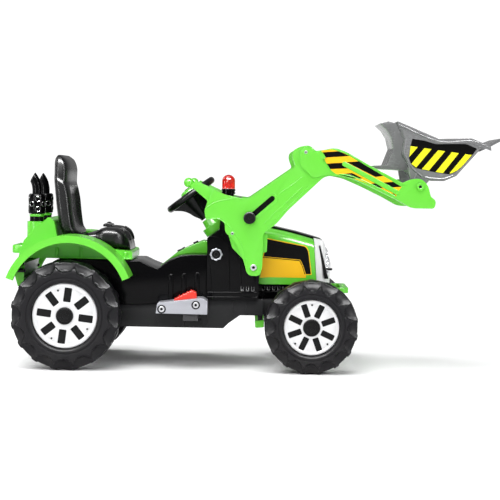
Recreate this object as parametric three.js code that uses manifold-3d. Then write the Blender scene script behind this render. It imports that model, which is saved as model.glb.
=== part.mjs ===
// Child's ride-on tractor with a front loader, as an assembly of separate named pieces.
// Millimetres. +X is the driving direction, +Z is up, and -Y is the driver's right-hand side.
import * as THREE from "three";
import { mergeVertices } from "three/addons/utils/BufferGeometryUtils.js";
import Module from "manifold-3d";

const wasm = await Module();
wasm.setup();

// ---------------------------------------------------------------- driving dimensions
const GAP = 0.4; // gap between neighbouring mouldings
const RUN = 0.4; // radial clearance of a turning fit
const WALL = 4; // wall of the moulded shells

const REAR = {
  x: -507, radius: 151, inner: 165, width: 116, disc: 90, slot: 21, slotFrom: 38, slotTo: 78, turn: 83,
};
const FRONT = {
  x: 174, radius: 130, inner: 165, width: 110, disc: 77, slot: 17, slotFrom: 30, slotTo: 68, turn: 20,
};
const WHEEL_SEGMENTS = 24;
const AXLE_RADIUS = 8;
const CAP_RADIUS = 24;
const SLOTS = 8;

const HULL = { halfWidth: 135, noseHalfWidth: 95, noseFrom: 40, rear: -600, front: 232, bottom: 112 };
const DECK_HALF_WIDTH = 145;
const TOWER = { halfWidth: 150, headHalfWidth: 112, headFrom: 424, back: -121, front: 26, top: 485 };
const HOOD = { halfWidth: 120, bottom: 238.5, wall: 3 };
const COWL_HALF_WIDTH = 142;
const FENDER = {
  outer: 285, rise: 41, clearance: 10, lip: 20, lipDepth: 14, skin: 5, from: 22, to: 160, shift: 9,
};
const SEAT = { halfWidth: 136, bolster: 42 };
const STACK = {
  x: -612, y: 85, pipe: 13.5, collar: 20, shield: 24, foot: 405, shieldFrom: 427, shieldTo: 484,
};

const COLUMN = { x: -175, z: 488, lean: 36.87, shaft: 6, length: 430, hub: 80 };
const WHEEL_RIM = { radius: 74, tube: 8.5 };
const FLANGE = { from: 106, to: 128, radius: 34, neck: 20, neckFrom: 84 };
const BEACON = { x: -66, radius: 19 };

const KINGPIN = { y: 148, radius: 5, barrel: 11, ear: 6 };
const STEER_ARM = { length: 45, pin: 4, thick: 8 };
const AXLE_BEAM = { half: 14, end: 132 };

const BUCKET = { halfWidth: 180, rim: 8, wall: 4, brace: 104 };
const ARM = { gap: 10, thick: 30, capThick: 6 };
const ARM_INNER = BUCKET.halfWidth + ARM.gap;
const ARM_OUTER = ARM_INNER + ARM.thick;
const BOOM_PIVOT = { x: 10.6, z: 291.4, radius: 8 };
const BUCKET_PIVOT = { x: 468.5, z: 524, radius: 7 };
const SLIDER = { from: [-3, 429], to: [59, 484], stem: 4.5, knob: 17, knobThick: 15 };

const STEP = { inner: TOWER.halfWidth + 2 * GAP, outer: 223 };
const PEDAL = { inner: 160, outer: 204, side: 3 };
const CONSOLE_HALF_WIDTH = 50;
const SWITCH = { rocker: [-200, 326.8], button: [-157.5, 347.5], halfWidth: 8, buttonRadius: 8 };

// ---------------------------------------------------------------- colours
const finish = (color, roughness, metalness = 0) =>
  new THREE.MeshStandardMaterial({ color, roughness, metalness });
const GREEN = finish(0x63e03a, 0.35);
const BLACK = finish(0x0b0b0c, 0.2);
const HULL_GREY = finish(0x26272a, 0.5);
const TYRE = finish(0x2f2e33, 0.6);
const WHITE = finish(0xf4f4f4, 0.35);
const SILVER = finish(0xb9bcc4, 0.35, 0.6);
const BUCKET_GREY = finish(0x77787b, 0.4);
const RED = finish(0xe0281c, 0.35);
const STEEL = finish(0x9a9ca0, 0.35, 1);
const SEAT_BLACK = finish(0x151517, 0.3);

// ---------------------------------------------------------------- solids
const radians = THREE.MathUtils.degToRad;

// A closed geometry as a solid whose faces point outwards.
function solid(geometry) {
  const bare = geometry.index ? geometry.toNonIndexed() : geometry.clone();
  for (const name of Object.keys(bare.attributes)) {
    if (name !== "position") bare.deleteAttribute(name);
  }
  const merged = mergeVertices(bare, 1e-4);
  const triVerts = new Uint32Array(merged.index.array);
  const make = () =>
    new wasm.Manifold(
      new wasm.Mesh({ numProp: 3, vertProperties: merged.attributes.position.array, triVerts }),
    );
  const made = make();
  if (made.volume() > 0) return made;
  for (let i = 0; i < triVerts.length; i += 3) {
    [triVerts[i + 1], triVerts[i + 2]] = [triVerts[i + 2], triVerts[i + 1]];
  }
  return make();
}

const join = (...solids) => solids.reduce((a, b) => a.add(b));
const cut = (body, ...tools) => tools.reduce((a, b) => a.subtract(b), body);

function geometryOf(body) {
  const mesh = body.getMesh();
  const positions = new Float32Array(mesh.numVert * 3);
  for (let i = 0; i < mesh.numVert; i += 1) {
    positions.set(mesh.vertProperties.subarray(i * mesh.numProp, i * mesh.numProp + 3), i * 3);
  }
  const geometry = new THREE.BufferGeometry();
  geometry.setAttribute("position", new THREE.BufferAttribute(positions, 3));
  geometry.setIndex(new THREE.BufferAttribute(new Uint32Array(mesh.triVerts), 1));
  return geometry;
}

// The same piece on the other side of the object.
function mirrored(geometry) {
  const other = geometry.clone().scale(1, -1, 1);
  const index = other.index.array;
  for (let i = 0; i < index.length; i += 3) {
    [index[i + 1], index[i + 2]] = [index[i + 2], index[i + 1]];
  }
  return other;
}

// An outline of [x, z] or [x, z, corner radius] points.
function outline(points) {
  const shape = new THREE.Shape();
  const at = (i) => new THREE.Vector2(...points[(i + points.length) % points.length]);
  points.forEach(([, , radius = 0], i) => {
    const corner = at(i);
    const before = at(i - 1).sub(corner);
    const after = at(i + 1).sub(corner);
    const reach = Math.min(radius, before.length() / 2.1, after.length() / 2.1);
    const enter = corner.clone().add(before.setLength(reach));
    const leave = corner.clone().add(after.setLength(reach));
    if (i === 0) shape.moveTo(enter.x, enter.y);
    else shape.lineTo(enter.x, enter.y);
    if (radius > 0) shape.quadraticCurveTo(corner.x, corner.y, leave.x, leave.y);
  });
  shape.closePath();
  return shape;
}

// The outline moved inwards by a wall.
function inset(points, wall) {
  const n = points.length;
  const area = points.reduce((sum, [x, z], i) => {
    const [x2, z2] = points[(i + 1) % n];
    return sum + x * z2 - x2 * z;
  }, 0);
  const side = Math.sign(area);
  const edges = points.map(([x, z], i) => {
    const [x2, z2] = points[(i + 1) % n];
    const length = Math.hypot(x2 - x, z2 - z);
    const normal = [(-(z2 - z) / length) * side, ((x2 - x) / length) * side];
    return { x: x + normal[0] * wall, z: z + normal[1] * wall, dx: x2 - x, dz: z2 - z };
  });
  return edges.map((edge, i) => {
    const last = edges[(i + n - 1) % n];
    const cross = last.dx * edge.dz - last.dz * edge.dx;
    const t = ((edge.x - last.x) * edge.dz - (edge.z - last.z) * edge.dx) / cross;
    return [last.x + last.dx * t, last.z + last.dz * t];
  });
}

// An outline in the XZ plane, drawn out along Y.
function plate(points, y0, y1, curveSegments = 3) {
  const shape = Array.isArray(points) ? outline(points) : points;
  const geometry = new THREE.ExtrudeGeometry(shape, { depth: y1 - y0, bevelEnabled: false, curveSegments });
  return solid(geometry.rotateX(Math.PI / 2).translate(0, y1, 0));
}

// An outline in the XY plane, drawn out along Z.
function slab(points, z0, z1, curveSegments = 3) {
  const settings = { depth: z1 - z0, bevelEnabled: false, curveSegments };
  const geometry = new THREE.ExtrudeGeometry(outline(points), settings);
  return solid(geometry.translate(0, 0, z0));
}

function box(x0, x1, y0, y1, z0, z1) {
  const geometry = new THREE.BoxGeometry(x1 - x0, y1 - y0, z1 - z0);
  return solid(geometry.translate((x0 + x1) / 2, (y0 + y1) / 2, (z0 + z1) / 2));
}

function rodY(x, z, radius, y0, y1, segments = 16) {
  const geometry = new THREE.CylinderGeometry(radius, radius, y1 - y0, segments);
  return solid(geometry.translate(x, (y0 + y1) / 2, z));
}

function rodZ(x, y, radius, z0, z1, segments = 16) {
  const geometry = new THREE.CylinderGeometry(radius, radius, z1 - z0, segments);
  return solid(geometry.rotateX(Math.PI / 2).translate(x, y, (z0 + z1) / 2));
}

// A profile of [radius, height] points turned about the Z axis, or about Y when upright is false.
// Its flats, not its edges, lie square to the axes.
function turned(profile, x, y, z, segments = 20, upright = true) {
  const points = profile.map((p) => new THREE.Vector2(...p));
  const geometry = new THREE.LatheGeometry(points, segments, Math.PI / segments);
  if (upright) geometry.rotateX(Math.PI / 2);
  return solid(geometry.translate(x, y, z));
}

// Places a solid drawn about the Z axis on the steering column, s millimetres below the wheel's plane.
const columnMatrix = new THREE.Matrix4()
  .makeTranslation(COLUMN.x, 0, COLUMN.z)
  .multiply(new THREE.Matrix4().makeRotationY(-radians(COLUMN.lean)));
const onColumn = (geometry) => solid(geometry.applyMatrix4(columnMatrix));

function columnRod(radius, from, to, segments = 16) {
  const geometry = new THREE.CylinderGeometry(radius, radius, to - from, segments);
  return onColumn(geometry.rotateX(Math.PI / 2).translate(0, 0, -(from + to) / 2));
}

// ---------------------------------------------------------------- body shells
// The seam between the hull and the shells that stand on it.
function seam(x) {
  const knots = [[HULL.rear, 172], [-310, 176], [-117, 195], [HULL.front, 199]];
  const next = Math.max(1, knots.findIndex(([knot]) => x <= knot));
  const [x0, z0] = knots[next - 1];
  const [x1, z1] = knots[next];
  return z0 + ((x - x0) / (x1 - x0)) * (z1 - z0);
}

const shaftWay = columnRod(COLUMN.shaft + 3, 0, COLUMN.length + 20, 16);
const rearAxleWay = rodY(REAR.x, REAR.radius, AXLE_RADIUS + RUN, -400, 400);
const boomShaftWay = rodY(BOOM_PIVOT.x, BOOM_PIVOT.z, BOOM_PIVOT.radius + RUN, -400, 400);

function hull() {
  const profile = (lift) => [
    [HULL.rear, seam(HULL.rear) + lift],
    [-310, seam(-310) + lift],
    [-117, seam(-117) + lift],
    [HULL.front, seam(HULL.front) + lift],
    [HULL.front + 4, 165],
    [HULL.front - 26, 150],
    [-25, 150],
    [-57, HULL.bottom + 15],
    [-72, HULL.bottom],
    [-372, HULL.bottom],
    [-400, HULL.bottom - 32],
    [-560, HULL.bottom - 32],
    [HULL.rear, HULL.bottom + 8],
  ];
  const narrow = (half, from) => [
    box(from, 400, half, 400, 0, 400),
    box(from, 400, -400, -half, 0, 400),
  ];
  const outside = cut(
    plate(profile(0), -HULL.halfWidth, HULL.halfWidth),
    ...narrow(HULL.noseHalfWidth, HULL.noseFrom),
  );
  const inside = cut(
    plate(inset(profile(20), WALL), WALL - HULL.halfWidth, HULL.halfWidth - WALL),
    ...narrow(HULL.noseHalfWidth - WALL, HULL.noseFrom - WALL),
  );
  return cut(outside, inside, rearAxleWay, shaftWay);
}

// The top line of the deck from the seat to the tower.
const DECK_TOP = [[-545, 300], [-310, 300], [-285, 288], [-261, 279], [-229, 303], [-197, 316], [-165, 320]];
const deckFront = TOWER.back - GAP;
const DECK_HEIGHT_AT_TOWER = 321;

function deck() {
  const profile = (drop) => [
    [HULL.rear, seam(HULL.rear) + GAP - drop],
    [HULL.rear, 268],
    ...DECK_TOP,
    [deckFront, DECK_HEIGHT_AT_TOWER],
    [deckFront, seam(deckFront) + GAP - drop],
    [-310, seam(-310) + GAP - drop],
  ];
  return cut(
    plate(profile(0), -DECK_HALF_WIDTH, DECK_HALF_WIDTH),
    plate(inset(profile(20), WALL), WALL - DECK_HALF_WIDTH, DECK_HALF_WIDTH - WALL),
  );
}

// The upright tower with the low front frame under the hood.
function tower() {
  const shoulder = [[TOWER.back - 1, 367], [-88, 393]];
  const profile = (drop) => [
    [TOWER.back, seam(TOWER.back) + GAP - drop],
    [TOWER.back, 340],
    ...shoulder,
    [-85, 420],
    [-92, 455],
    [-86, TOWER.top],
    [-30, TOWER.top],
    [TOWER.front, 440],
    [TOWER.front, 236],
    [HULL.front, 236],
    [HULL.front, seam(HULL.front) + GAP - drop],
  ];
  const sides = (half, x0, z0) => [
    box(x0, 400, half, 400, z0, 600),
    box(x0, 400, -400, -half, z0, 600),
  ];
  const shaped = (body, inwards) =>
    cut(
      body,
      ...sides(TOWER.headHalfWidth - inwards, -400, TOWER.headFrom - inwards),
      ...sides(HULL.noseHalfWidth + 3 - inwards, TOWER.front - inwards, 0),
    );
  const outside = shaped(plate(profile(0), -TOWER.halfWidth, TOWER.halfWidth), 0);
  const inside = shaped(
    plate(inset(profile(20), WALL), WALL - TOWER.halfWidth, TOWER.halfWidth - WALL),
    WALL,
  );
  return cut(outside, inside, columnRod(FLANGE.radius + 4, 0, FLANGE.to + GAP, 24), shaftWay, boomShaftWay);
}

// A skin through rings of points, closed by a fan at each end.
function loft(rings) {
  const count = rings[0].length;
  const positions = rings.flat(2);
  const index = [];
  for (let r = 0; r + 1 < rings.length; r += 1) {
    for (let i = 0; i < count; i += 1) {
      const a = r * count + i;
      const b = r * count + ((i + 1) % count);
      index.push(a, b, b + count, a, b + count, a + count);
    }
  }
  for (const [start, flip] of [[0, true], [(rings.length - 1) * count, false]]) {
    for (let i = 1; i + 1 < count; i += 1) {
      const fan = [start, start + i, start + i + 1];
      index.push(...(flip ? fan.reverse() : fan));
    }
  }
  const geometry = new THREE.BufferGeometry();
  geometry.setAttribute("position", new THREE.BufferAttribute(new Float32Array(positions), 3));
  geometry.setIndex(index);
  return solid(geometry);
}

// The top line of the hood and its front edge, which leans forward towards the bottom.
const HOOD_LINE = [[TOWER.front + GAP, 406], [68, 399], [133, 385], [181, 372]];
const HOOD_FRONT_LEAN = 10 / (372 - HOOD.bottom);

function hoodRing(x, top, half, lean, bottom) {
  const section = [
    [half, bottom],
    [half, top - 38],
    [half - 8, top - 17],
    [half - 28, top - 5],
    [half - 70, top],
  ];
  const both = [...section, ...section.map(([y, z]) => [-y, z]).reverse()];
  return both.map(([y, z]) => [x + lean * (top - z), y, z]);
}

function hood() {
  const rings = (inwards, bottom, over) =>
    HOOD_LINE.map(([x, top], i) => {
      const last = i === HOOD_LINE.length - 1;
      const end = i === 0 ? -over : last ? over : 0;
      return hoodRing(x + end, top - inwards, HOOD.halfWidth - inwards, last ? HOOD_FRONT_LEAN : 0, bottom);
    });
  return cut(loft(rings(0, HOOD.bottom, 0)), loft(rings(HOOD.wall, HOOD.bottom - 10, 5)));
}

// The nose: front profile, and the plan that rounds its corners.
const NOSE = [[208, 366, 6], [214, 352], [219, 332], [229, 305], [233, 288], [231, 264], [230, HOOD.bottom]];
const NOSE_BACK = 182;
const LAMP = { inner: 66, outer: 104, from: 268, to: 350, proud: 1.5 };
const GRILLE = { halfWidth: 54, from: 256, to: 340, depth: 14 };

function noseBody(grow) {
  const lean = HOOD_FRONT_LEAN * (372 - HOOD.bottom);
  const side = plate(
    [[NOSE_BACK, 371], ...NOSE.map(([x, z, r]) => [x + grow, z, r]), [NOSE_BACK + lean, HOOD.bottom]],
    -HOOD.halfWidth - grow,
    HOOD.halfWidth + grow,
  );
  const half = HOOD.halfWidth - 2 + grow;
  const plan = [[170, -half], [206 + grow, -half, 14], [222 + grow, -96, 16], [236 + grow, -50, 20]];
  const both = [...plan, ...plan.map(([x, y, r]) => [x, -y, r]).reverse()];
  return side.intersect(slab(both, 200, 400, 5));
}

// The lamps' place in the corners of the nose.
function lampRoom(side, slack) {
  const [y0, y1] = [LAMP.inner - slack, LAMP.outer + slack].map((y) => y * side).sort((a, b) => a - b);
  const lamp = [[199, LAMP.to], [260, LAMP.to], [260, LAMP.from], [214, LAMP.from]];
  return plate(slack > 0 ? inset(lamp, -slack) : lamp, y0, y1);
}

function grilleSurround() {
  const slot = [[195, 352], [200, 352], [226, 256], [213, 256]];
  const grooves = [-1, 1].map((side) => plate(slot, ...[side * 108, side * 140].sort((a, b) => a - b)));
  const grille = box(233 - GRILLE.depth, 300, -GRILLE.halfWidth, GRILLE.halfWidth, GRILLE.from, GRILLE.to);
  const hollow = box(170, 212 - GRILLE.depth, -100, 100, HOOD.bottom - 5, 350);
  return cut(noseBody(0), ...grooves, grille, hollow, lampRoom(-1, GAP), lampRoom(1, GAP));
}

const headlamp = () => noseBody(LAMP.proud).intersect(lampRoom(-1, 0));

function bumper() {
  const reach = HULL.front + GAP;
  const bar = [[reach, -66], [258, -108, 12], [284, -98, 14]];
  const hole = [[reach - 5, -50], [255, -84, 8], [264, -76, 8]];
  const both = (points) => [...points, ...points.map(([x, y, r]) => [x, -y, r]).reverse()];
  return cut(slab(both(bar), 216, 231), slab(both(hole), 200, 250), box(0, reach, -60, 60, 200, 250));
}

// ---------------------------------------------------------------- rear body with fenders
const COWL_BACK = [[-640, 352], [-652, 318], [-664, 250]];
const COWL_TOP = [[-333, 326, 6], [-478, 340], [-528, 353], [-546, 362, 6], [-556, 409, 5], [-572, 420, 6]];

function fender() {
  const x = REAR.x + FENDER.shift;
  const z = REAR.radius + FENDER.rise;
  const outer = REAR.radius + FENDER.clearance + FENDER.lip;
  const arch = (inner, y0, y1) => {
    const shape = new THREE.Shape();
    shape.absarc(x, z, outer, radians(FENDER.from), radians(FENDER.to), false);
    shape.absarc(x, z, inner, radians(FENDER.to), radians(FENDER.from), true);
    return plate(shape, y0, y1, 14);
  };
  const whole = join(
    arch(outer - FENDER.skin, -FENDER.outer, -COWL_HALF_WIDTH + 1),
    arch(outer - FENDER.lip, -FENDER.outer, FENDER.lipDepth - FENDER.outer),
  );
  const besideDeck = -DECK_HALF_WIDTH - GAP;
  return cut(whole, box(x, x + outer, besideDeck, 0, 0, DECK_TOP[0][1] + GAP));
}

function rearBody() {
  const profile = (drop) => [
    [-333, 303 - drop],
    ...COWL_TOP,
    [-588, 402],
    [-606, 392],
    ...COWL_BACK,
    [-656, 222 - drop],
    [-640, 222 - drop],
    [-636, 303 - drop],
  ];
  const bare = profile(20).map(([px, pz]) => [px, pz]);
  const shell = cut(
    plate(profile(0), -COWL_HALF_WIDTH, COWL_HALF_WIDTH),
    plate(inset(bare, WALL), WALL - COWL_HALF_WIDTH, COWL_HALF_WIDTH - WALL),
  );
  const base = (side) => rodZ(STACK.x, side * STACK.y, STACK.shield + 3, 340, STACK.foot, 16);
  const wing = fender();
  const otherWing = solid(mirrored(geometryOf(wing)));
  return join(shell, wing, otherWing, base(-1), base(1));
}

function rearHandle() {
  const loop = [[-630, -80], [-684, -72, 10], [-684, 72, 10], [-630, 80]];
  const hole = [[-620, -62], [-674, -58, 6], [-674, 58, 6], [-620, 62]];
  const back = plate([[-600, 352], ...COWL_BACK.map(([x, z]) => [x - GAP, z]), [-600, 250]], -90, 90);
  return cut(slab(loop, 312, 336), slab(hole, 300, 350), back);
}

// ---------------------------------------------------------------- seat
function seatBack() {
  const profile = [
    [-537, 368, 6], [-550, 411], [-559, 463], [-568, 529], [-567, 566, 14], [-550, 600, 16],
    [-530, 590, 12], [-516, 566, 12], [-514, 528, 8], [-513, 500, 8], [-505, 448], [-495, 396, 8],
    [-485, 371, 4],
  ];
  const channel = [[-400, 500], [-518, 500], [-524, 448], [-514, 396], [-492, 365], [-400, 365]];
  const middle = SEAT.halfWidth - SEAT.bolster;
  return cut(plate(profile, -SEAT.halfWidth, SEAT.halfWidth), plate(channel, -middle, middle));
}

function seatBase() {
  const bottom = (x) => 326 + GAP + (-333 - x) * ((340 - 326) / (478 - 333));
  const profile = [
    [-477, bottom(-477)], [-477, 372, 4], [-452, 388, 6], [-433, 395, 8], [-404, 400, 10],
    [-372, 394, 12], [-352, 378, 12], [-342, 350, 8], [-341, bottom(-341), 4],
  ];
  const half = SEAT.halfWidth - 6;
  const plan = [[-500, -half], [-380, -half, 20], [-348, -88, 20], [-340, -30, 20]];
  const both = [...plan, ...plan.map(([x, y, r]) => [x, -y, r]).reverse()];
  return plate(profile, -half, half).intersect(slab(both, 300, 420, 4));
}

// ---------------------------------------------------------------- exhaust stacks
function stackPipe() {
  const lower = join(
    rodZ(STACK.x, -STACK.y, STACK.collar, STACK.foot + GAP, STACK.shieldFrom - GAP, 16),
    rodZ(STACK.x, -STACK.y, STACK.pipe, STACK.foot + GAP, STACK.shieldTo + 2, 12),
  );
  const bend = new THREE.CatmullRomCurve3(
    [[0, STACK.shieldTo], [-1, 502], [-6, 520], [-18, 538], [-32, 552]].map(
      ([x, z]) => new THREE.Vector3(STACK.x + x, -STACK.y, z),
    ),
  );
  const section = new THREE.Shape().absarc(0, 0, STACK.pipe, 0, 2 * Math.PI);
  const tip = solid(
    new THREE.ExtrudeGeometry(section, {
      steps: 6, bevelEnabled: false, extrudePath: bend, curveSegments: 6,
    }),
  );
  const slice = plate([[-640, 502], [-614, 552], [-680, 590], [-690, 502]], -150, 0);
  return join(lower, cut(tip, slice));
}

const stackShield = () =>
  turned(
    [
      [STACK.pipe + RUN, STACK.shieldFrom],
      [STACK.shield, STACK.shieldFrom],
      [STACK.shield, STACK.shieldTo - 4],
      [STACK.collar, STACK.shieldTo],
      [STACK.pipe + RUN, STACK.shieldTo],
      [STACK.pipe + RUN, STACK.shieldFrom],
    ],
    STACK.x, -STACK.y, 0,
  );

// ---------------------------------------------------------------- controls
function steeringWheel() {
  const rim = new THREE.TorusGeometry(WHEEL_RIM.radius, WHEEL_RIM.tube, 8, 28);
  const hub = new THREE.LatheGeometry(
    [[0, 7], [30, 7], [32, 0], [26, -40], [19, -COLUMN.hub], [0, -COLUMN.hub]].map(
      (p) => new THREE.Vector2(...p),
    ),
    24,
  ).rotateX(Math.PI / 2);
  const spoke = (turn) =>
    new THREE.BoxGeometry(WHEEL_RIM.radius - 22, 18, 8)
      .translate(22 + (WHEEL_RIM.radius - 22) / 2, 0, -3)
      .rotateZ(radians(turn));
  const whole = join(...[rim, hub, spoke(60), spoke(180), spoke(300)].map(onColumn));
  return cut(whole, columnRod(COLUMN.shaft + RUN, 8, COLUMN.hub + 20, 16));
}

const wheelPad = () => {
  const profile = [[0, 7 + GAP], [26, 7 + GAP], [26, 14], [20, 19], [0, 20]];
  const geometry = new THREE.LatheGeometry(profile.map((p) => new THREE.Vector2(...p)), 24);
  return onColumn(geometry.rotateX(Math.PI / 2));
};

function columnCover() {
  const profile = [
    [0, -FLANGE.neckFrom], [FLANGE.neck, -FLANGE.neckFrom], [FLANGE.neck + 3, -FLANGE.from],
    [FLANGE.radius, -FLANGE.from], [FLANGE.radius, -FLANGE.to], [0, -FLANGE.to],
  ];
  const geometry = new THREE.LatheGeometry(profile.map((p) => new THREE.Vector2(...p)), 24);
  return cut(onColumn(geometry.rotateX(Math.PI / 2)), columnRod(COLUMN.shaft + RUN, 60, 160, 16));
}

const consoleLine = [[-259, 281.5], [-211, 321, 6], [-179, 338, 4], [-136, 357, 6]];

// A frame on the console's sloping top: along it, and out of it.
function onConsole(geometry, [x, z], [from, to]) {
  const lean = Math.atan2(to[1] - from[1], to[0] - from[0]);
  return solid(geometry.rotateY(-lean).translate(x, 0, z));
}
const rockerSeat = [consoleLine[1], consoleLine[2]];
const buttonSeat = [consoleLine[2], consoleLine[3]];

function consoleHump() {
  const front = deckFront - GAP;
  const under = DECK_TOP.slice(-3).reverse().map(([x, z]) => [x, z + GAP]);
  const hump = plate(
    [...consoleLine, [front, 354, 4], [front, DECK_HEIGHT_AT_TOWER + GAP], ...under],
    -CONSOLE_HALF_WIDTH,
    CONSOLE_HALF_WIDTH,
  );
  const rockerRoom = new THREE.BoxGeometry(28, 2 * SWITCH.halfWidth + 2, 18);
  const buttonRoom = new THREE.CylinderGeometry(SWITCH.buttonRadius + RUN, SWITCH.buttonRadius + RUN, 20, 20);
  return cut(
    hump,
    onConsole(rockerRoom, SWITCH.rocker, rockerSeat),
    onConsole(buttonRoom.rotateX(Math.PI / 2), SWITCH.button, buttonSeat),
  );
}

const rocker = () => {
  const roof = outline([[-12, -5, 2], [-12, 5, 2], [0, 3.4], [12, 5, 2], [12, -5, 2]]);
  const size = { depth: 2 * SWITCH.halfWidth, bevelEnabled: false, curveSegments: 2 };
  const geometry = new THREE.ExtrudeGeometry(roof, size).rotateX(Math.PI / 2);
  return onConsole(geometry.translate(0, SWITCH.halfWidth, 0), SWITCH.rocker, rockerSeat);
};

const startButton = () => {
  const geometry = new THREE.CylinderGeometry(SWITCH.buttonRadius, SWITCH.buttonRadius, 10, 20);
  return onConsole(geometry.rotateX(Math.PI / 2), SWITCH.button, buttonSeat);
};

function sideKnob() {
  const lobes = 8;
  const shape = new THREE.Shape();
  const count = lobes * 4;
  for (let i = 0; i < count; i += 1) {
    const angle = (i / count) * 2 * Math.PI;
    const radius = 17 + 1.6 * Math.cos(lobes * angle);
    const point = [-95 + radius * Math.cos(angle), 323 + radius * Math.sin(angle)];
    if (i === 0) shape.moveTo(...point);
    else shape.lineTo(...point);
  }
  shape.closePath();
  const face = -TOWER.halfWidth - GAP;
  return cut(plate(shape, face - 14, face), rodY(-95, 323, 7, face - 20, face - 8, 6));
}

const beaconBase = () =>
  turned([[0, 0], [14, 0], [14, 8], [20, 10], [20, 22], [0, 22]], BEACON.x, 0, TOWER.top + GAP);
const beaconDome = () => {
  const foot = TOWER.top + 22 + 2 * GAP;
  const crown = [0, 25, 50, 75].map((a) => [
    BEACON.radius * Math.cos(radians(a)),
    22 + BEACON.radius * Math.sin(radians(a)),
  ]);
  return turned([[0, 0], [BEACON.radius, 0], ...crown, [0, 22 + BEACON.radius]], BEACON.x, 0, foot);
};

// ---------------------------------------------------------------- steps and pedal
function stepPlate(withPedal) {
  const side = [[-259, 159], [-255, 188, 4], [-131, 204, 6], [-116, 196, 6], [-116, 158]];
  const shelf = box(-186, -140, -STEP.outer + 14, -STEP.inner, 138, 160);
  const whole = join(plate(side, -STEP.outer, -STEP.inner), shelf);
  const room = box(-214, -140, -PEDAL.outer - PEDAL.side, -PEDAL.inner + PEDAL.side, 172, 240);
  return withPedal ? cut(whole, room) : whole;
}

const pedal = () =>
  plate(
    [[-210, 198, 2], [-160, 223, 5], [-148, 217, 4], [-146, 191], [-206, 182, 4]],
    -PEDAL.outer, -PEDAL.inner,
  );

// ---------------------------------------------------------------- wheels
// One moulding: hollow tyre, open towards the hull, with its web and hub.
function tyre({ x, radius, inner, width, disc }) {
  const skin = 8;
  const bore = AXLE_RADIUS + RUN;
  const web = width - 22;
  const tread = radius / Math.cos(Math.PI / WHEEL_SEGMENTS);
  const profile = [
    [bore, web - 18], [bore, web + 8], [22, web + 8], [22, web], [disc + 2, web],
    [disc + 2, width], [radius - 22, width], [tread, width - 16],
    [tread, 16], [radius - 22, 0], [disc + 8, 0], [disc + 8, skin],
    [radius - 26, skin], [radius - skin, 20], [radius - skin, width - 20],
    [radius - 26, width - skin], [disc + 10, web - skin],
    [24, web - skin], [24, web - 18], [bore, web - 18],
  ];
  const turnedOut = profile.map(([r, y]) => [r, -y]);
  return turned(turnedOut, x, -inner, radius, WHEEL_SEGMENTS, false);
}

// The white cover with its slots, screwed on the web by three screws.
function wheelDisc({ x, radius, inner, width, disc, slot, slotFrom, slotTo, turn }) {
  const back = width - 22 + GAP;
  const bore = 22 + RUN;
  const profile = [
    [bore, back], [disc, back], [disc, back + 4], [disc - 8, back + 7], [bore, back + 7], [bore, back],
  ];
  const cover = turned(profile.map(([r, y]) => [r, -y]), 0, 0, 0, WHEEL_SEGMENTS, false);
  const slots = Array.from({ length: SLOTS }, (_, i) =>
    solid(
      new THREE.BoxGeometry(slotTo - slotFrom, 40, slot)
        .translate((slotFrom + slotTo) / 2, -width + 10, 0)
        .rotateY(-radians(turn + (i * 360) / SLOTS)),
    ),
  );
  const placed = geometryOf(cut(cover, ...slots));
  return solid(placed.translate(x, -inner, radius));
}

const hubCap = ({ x, radius, inner, width }) => {
  const foot = width - 22 + GAP + 8;
  const profile = [
    [0, foot], [CAP_RADIUS, foot], [CAP_RADIUS, foot + 4], [CAP_RADIUS - 4, foot + 7], [0, foot + 8],
  ];
  return turned(profile.map(([r, y]) => [r, -y]), x, -inner, radius, 24, false);
};
const axleEnd = ({ inner, width }) => inner + width - 17;

// ---------------------------------------------------------------- running gear
const rearAxle = () => rodY(REAR.x, REAR.radius, AXLE_RADIUS, -axleEnd(REAR), axleEnd(REAR));

function gearbox() {
  const body = box(-556, -452, -HULL.halfWidth + WALL + GAP, -96, 90, 166);
  const motor = rodY(-470, 128, 18, -97, -48);
  return cut(join(body, motor), rearAxleWay);
}

function frontAxle() {
  const middle = FRONT.radius;
  const { half, end } = AXLE_BEAM;
  const { y, radius, ear } = KINGPIN;
  const beam = join(
    box(FRONT.x - half, FRONT.x + half, -end, end, middle - half, middle + half),
    box(FRONT.x - half, FRONT.x + half, -40, 40, middle + half - 1, 150 - GAP),
  );
  const ends = [-1, 1].flatMap((side) => {
    const [y0, y1] = [side * (end - 8), side * (y + 12)].sort((a, b) => a - b);
    return [
      box(FRONT.x - half, FRONT.x + half, y0, y1, middle + half - 0.5, middle + half + ear - GAP),
      box(FRONT.x - half, FRONT.x + half, y0, y1, middle - half - ear, middle - half + 0.5),
      rodZ(FRONT.x, side * y, radius, middle - half - ear, middle + half + ear - GAP, 16),
    ];
  });
  return join(beam, ...ends);
}

function knuckle() {
  const middle = FRONT.radius;
  const { y, radius, barrel } = KINGPIN;
  const reach = AXLE_BEAM.half - 1;
  const post = rodZ(FRONT.x, -y, barrel, middle - reach, middle + reach);
  const stub = rodY(FRONT.x, middle, AXLE_RADIUS, -axleEnd(FRONT), -y - radius - 1.5);
  const end = FRONT.x - STEER_ARM.length;
  const low = middle - 9;
  const arm = box(end - 8, FRONT.x - radius - 1.5, -y - 7, -y + 7, low, low + STEER_ARM.thick);
  const pin = rodZ(end, -y, STEER_ARM.pin, low - 18, low + 1, 16);
  return cut(join(post, stub, arm, pin), rodZ(FRONT.x, -y, radius + RUN, 0, 300, 16));
}

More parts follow.
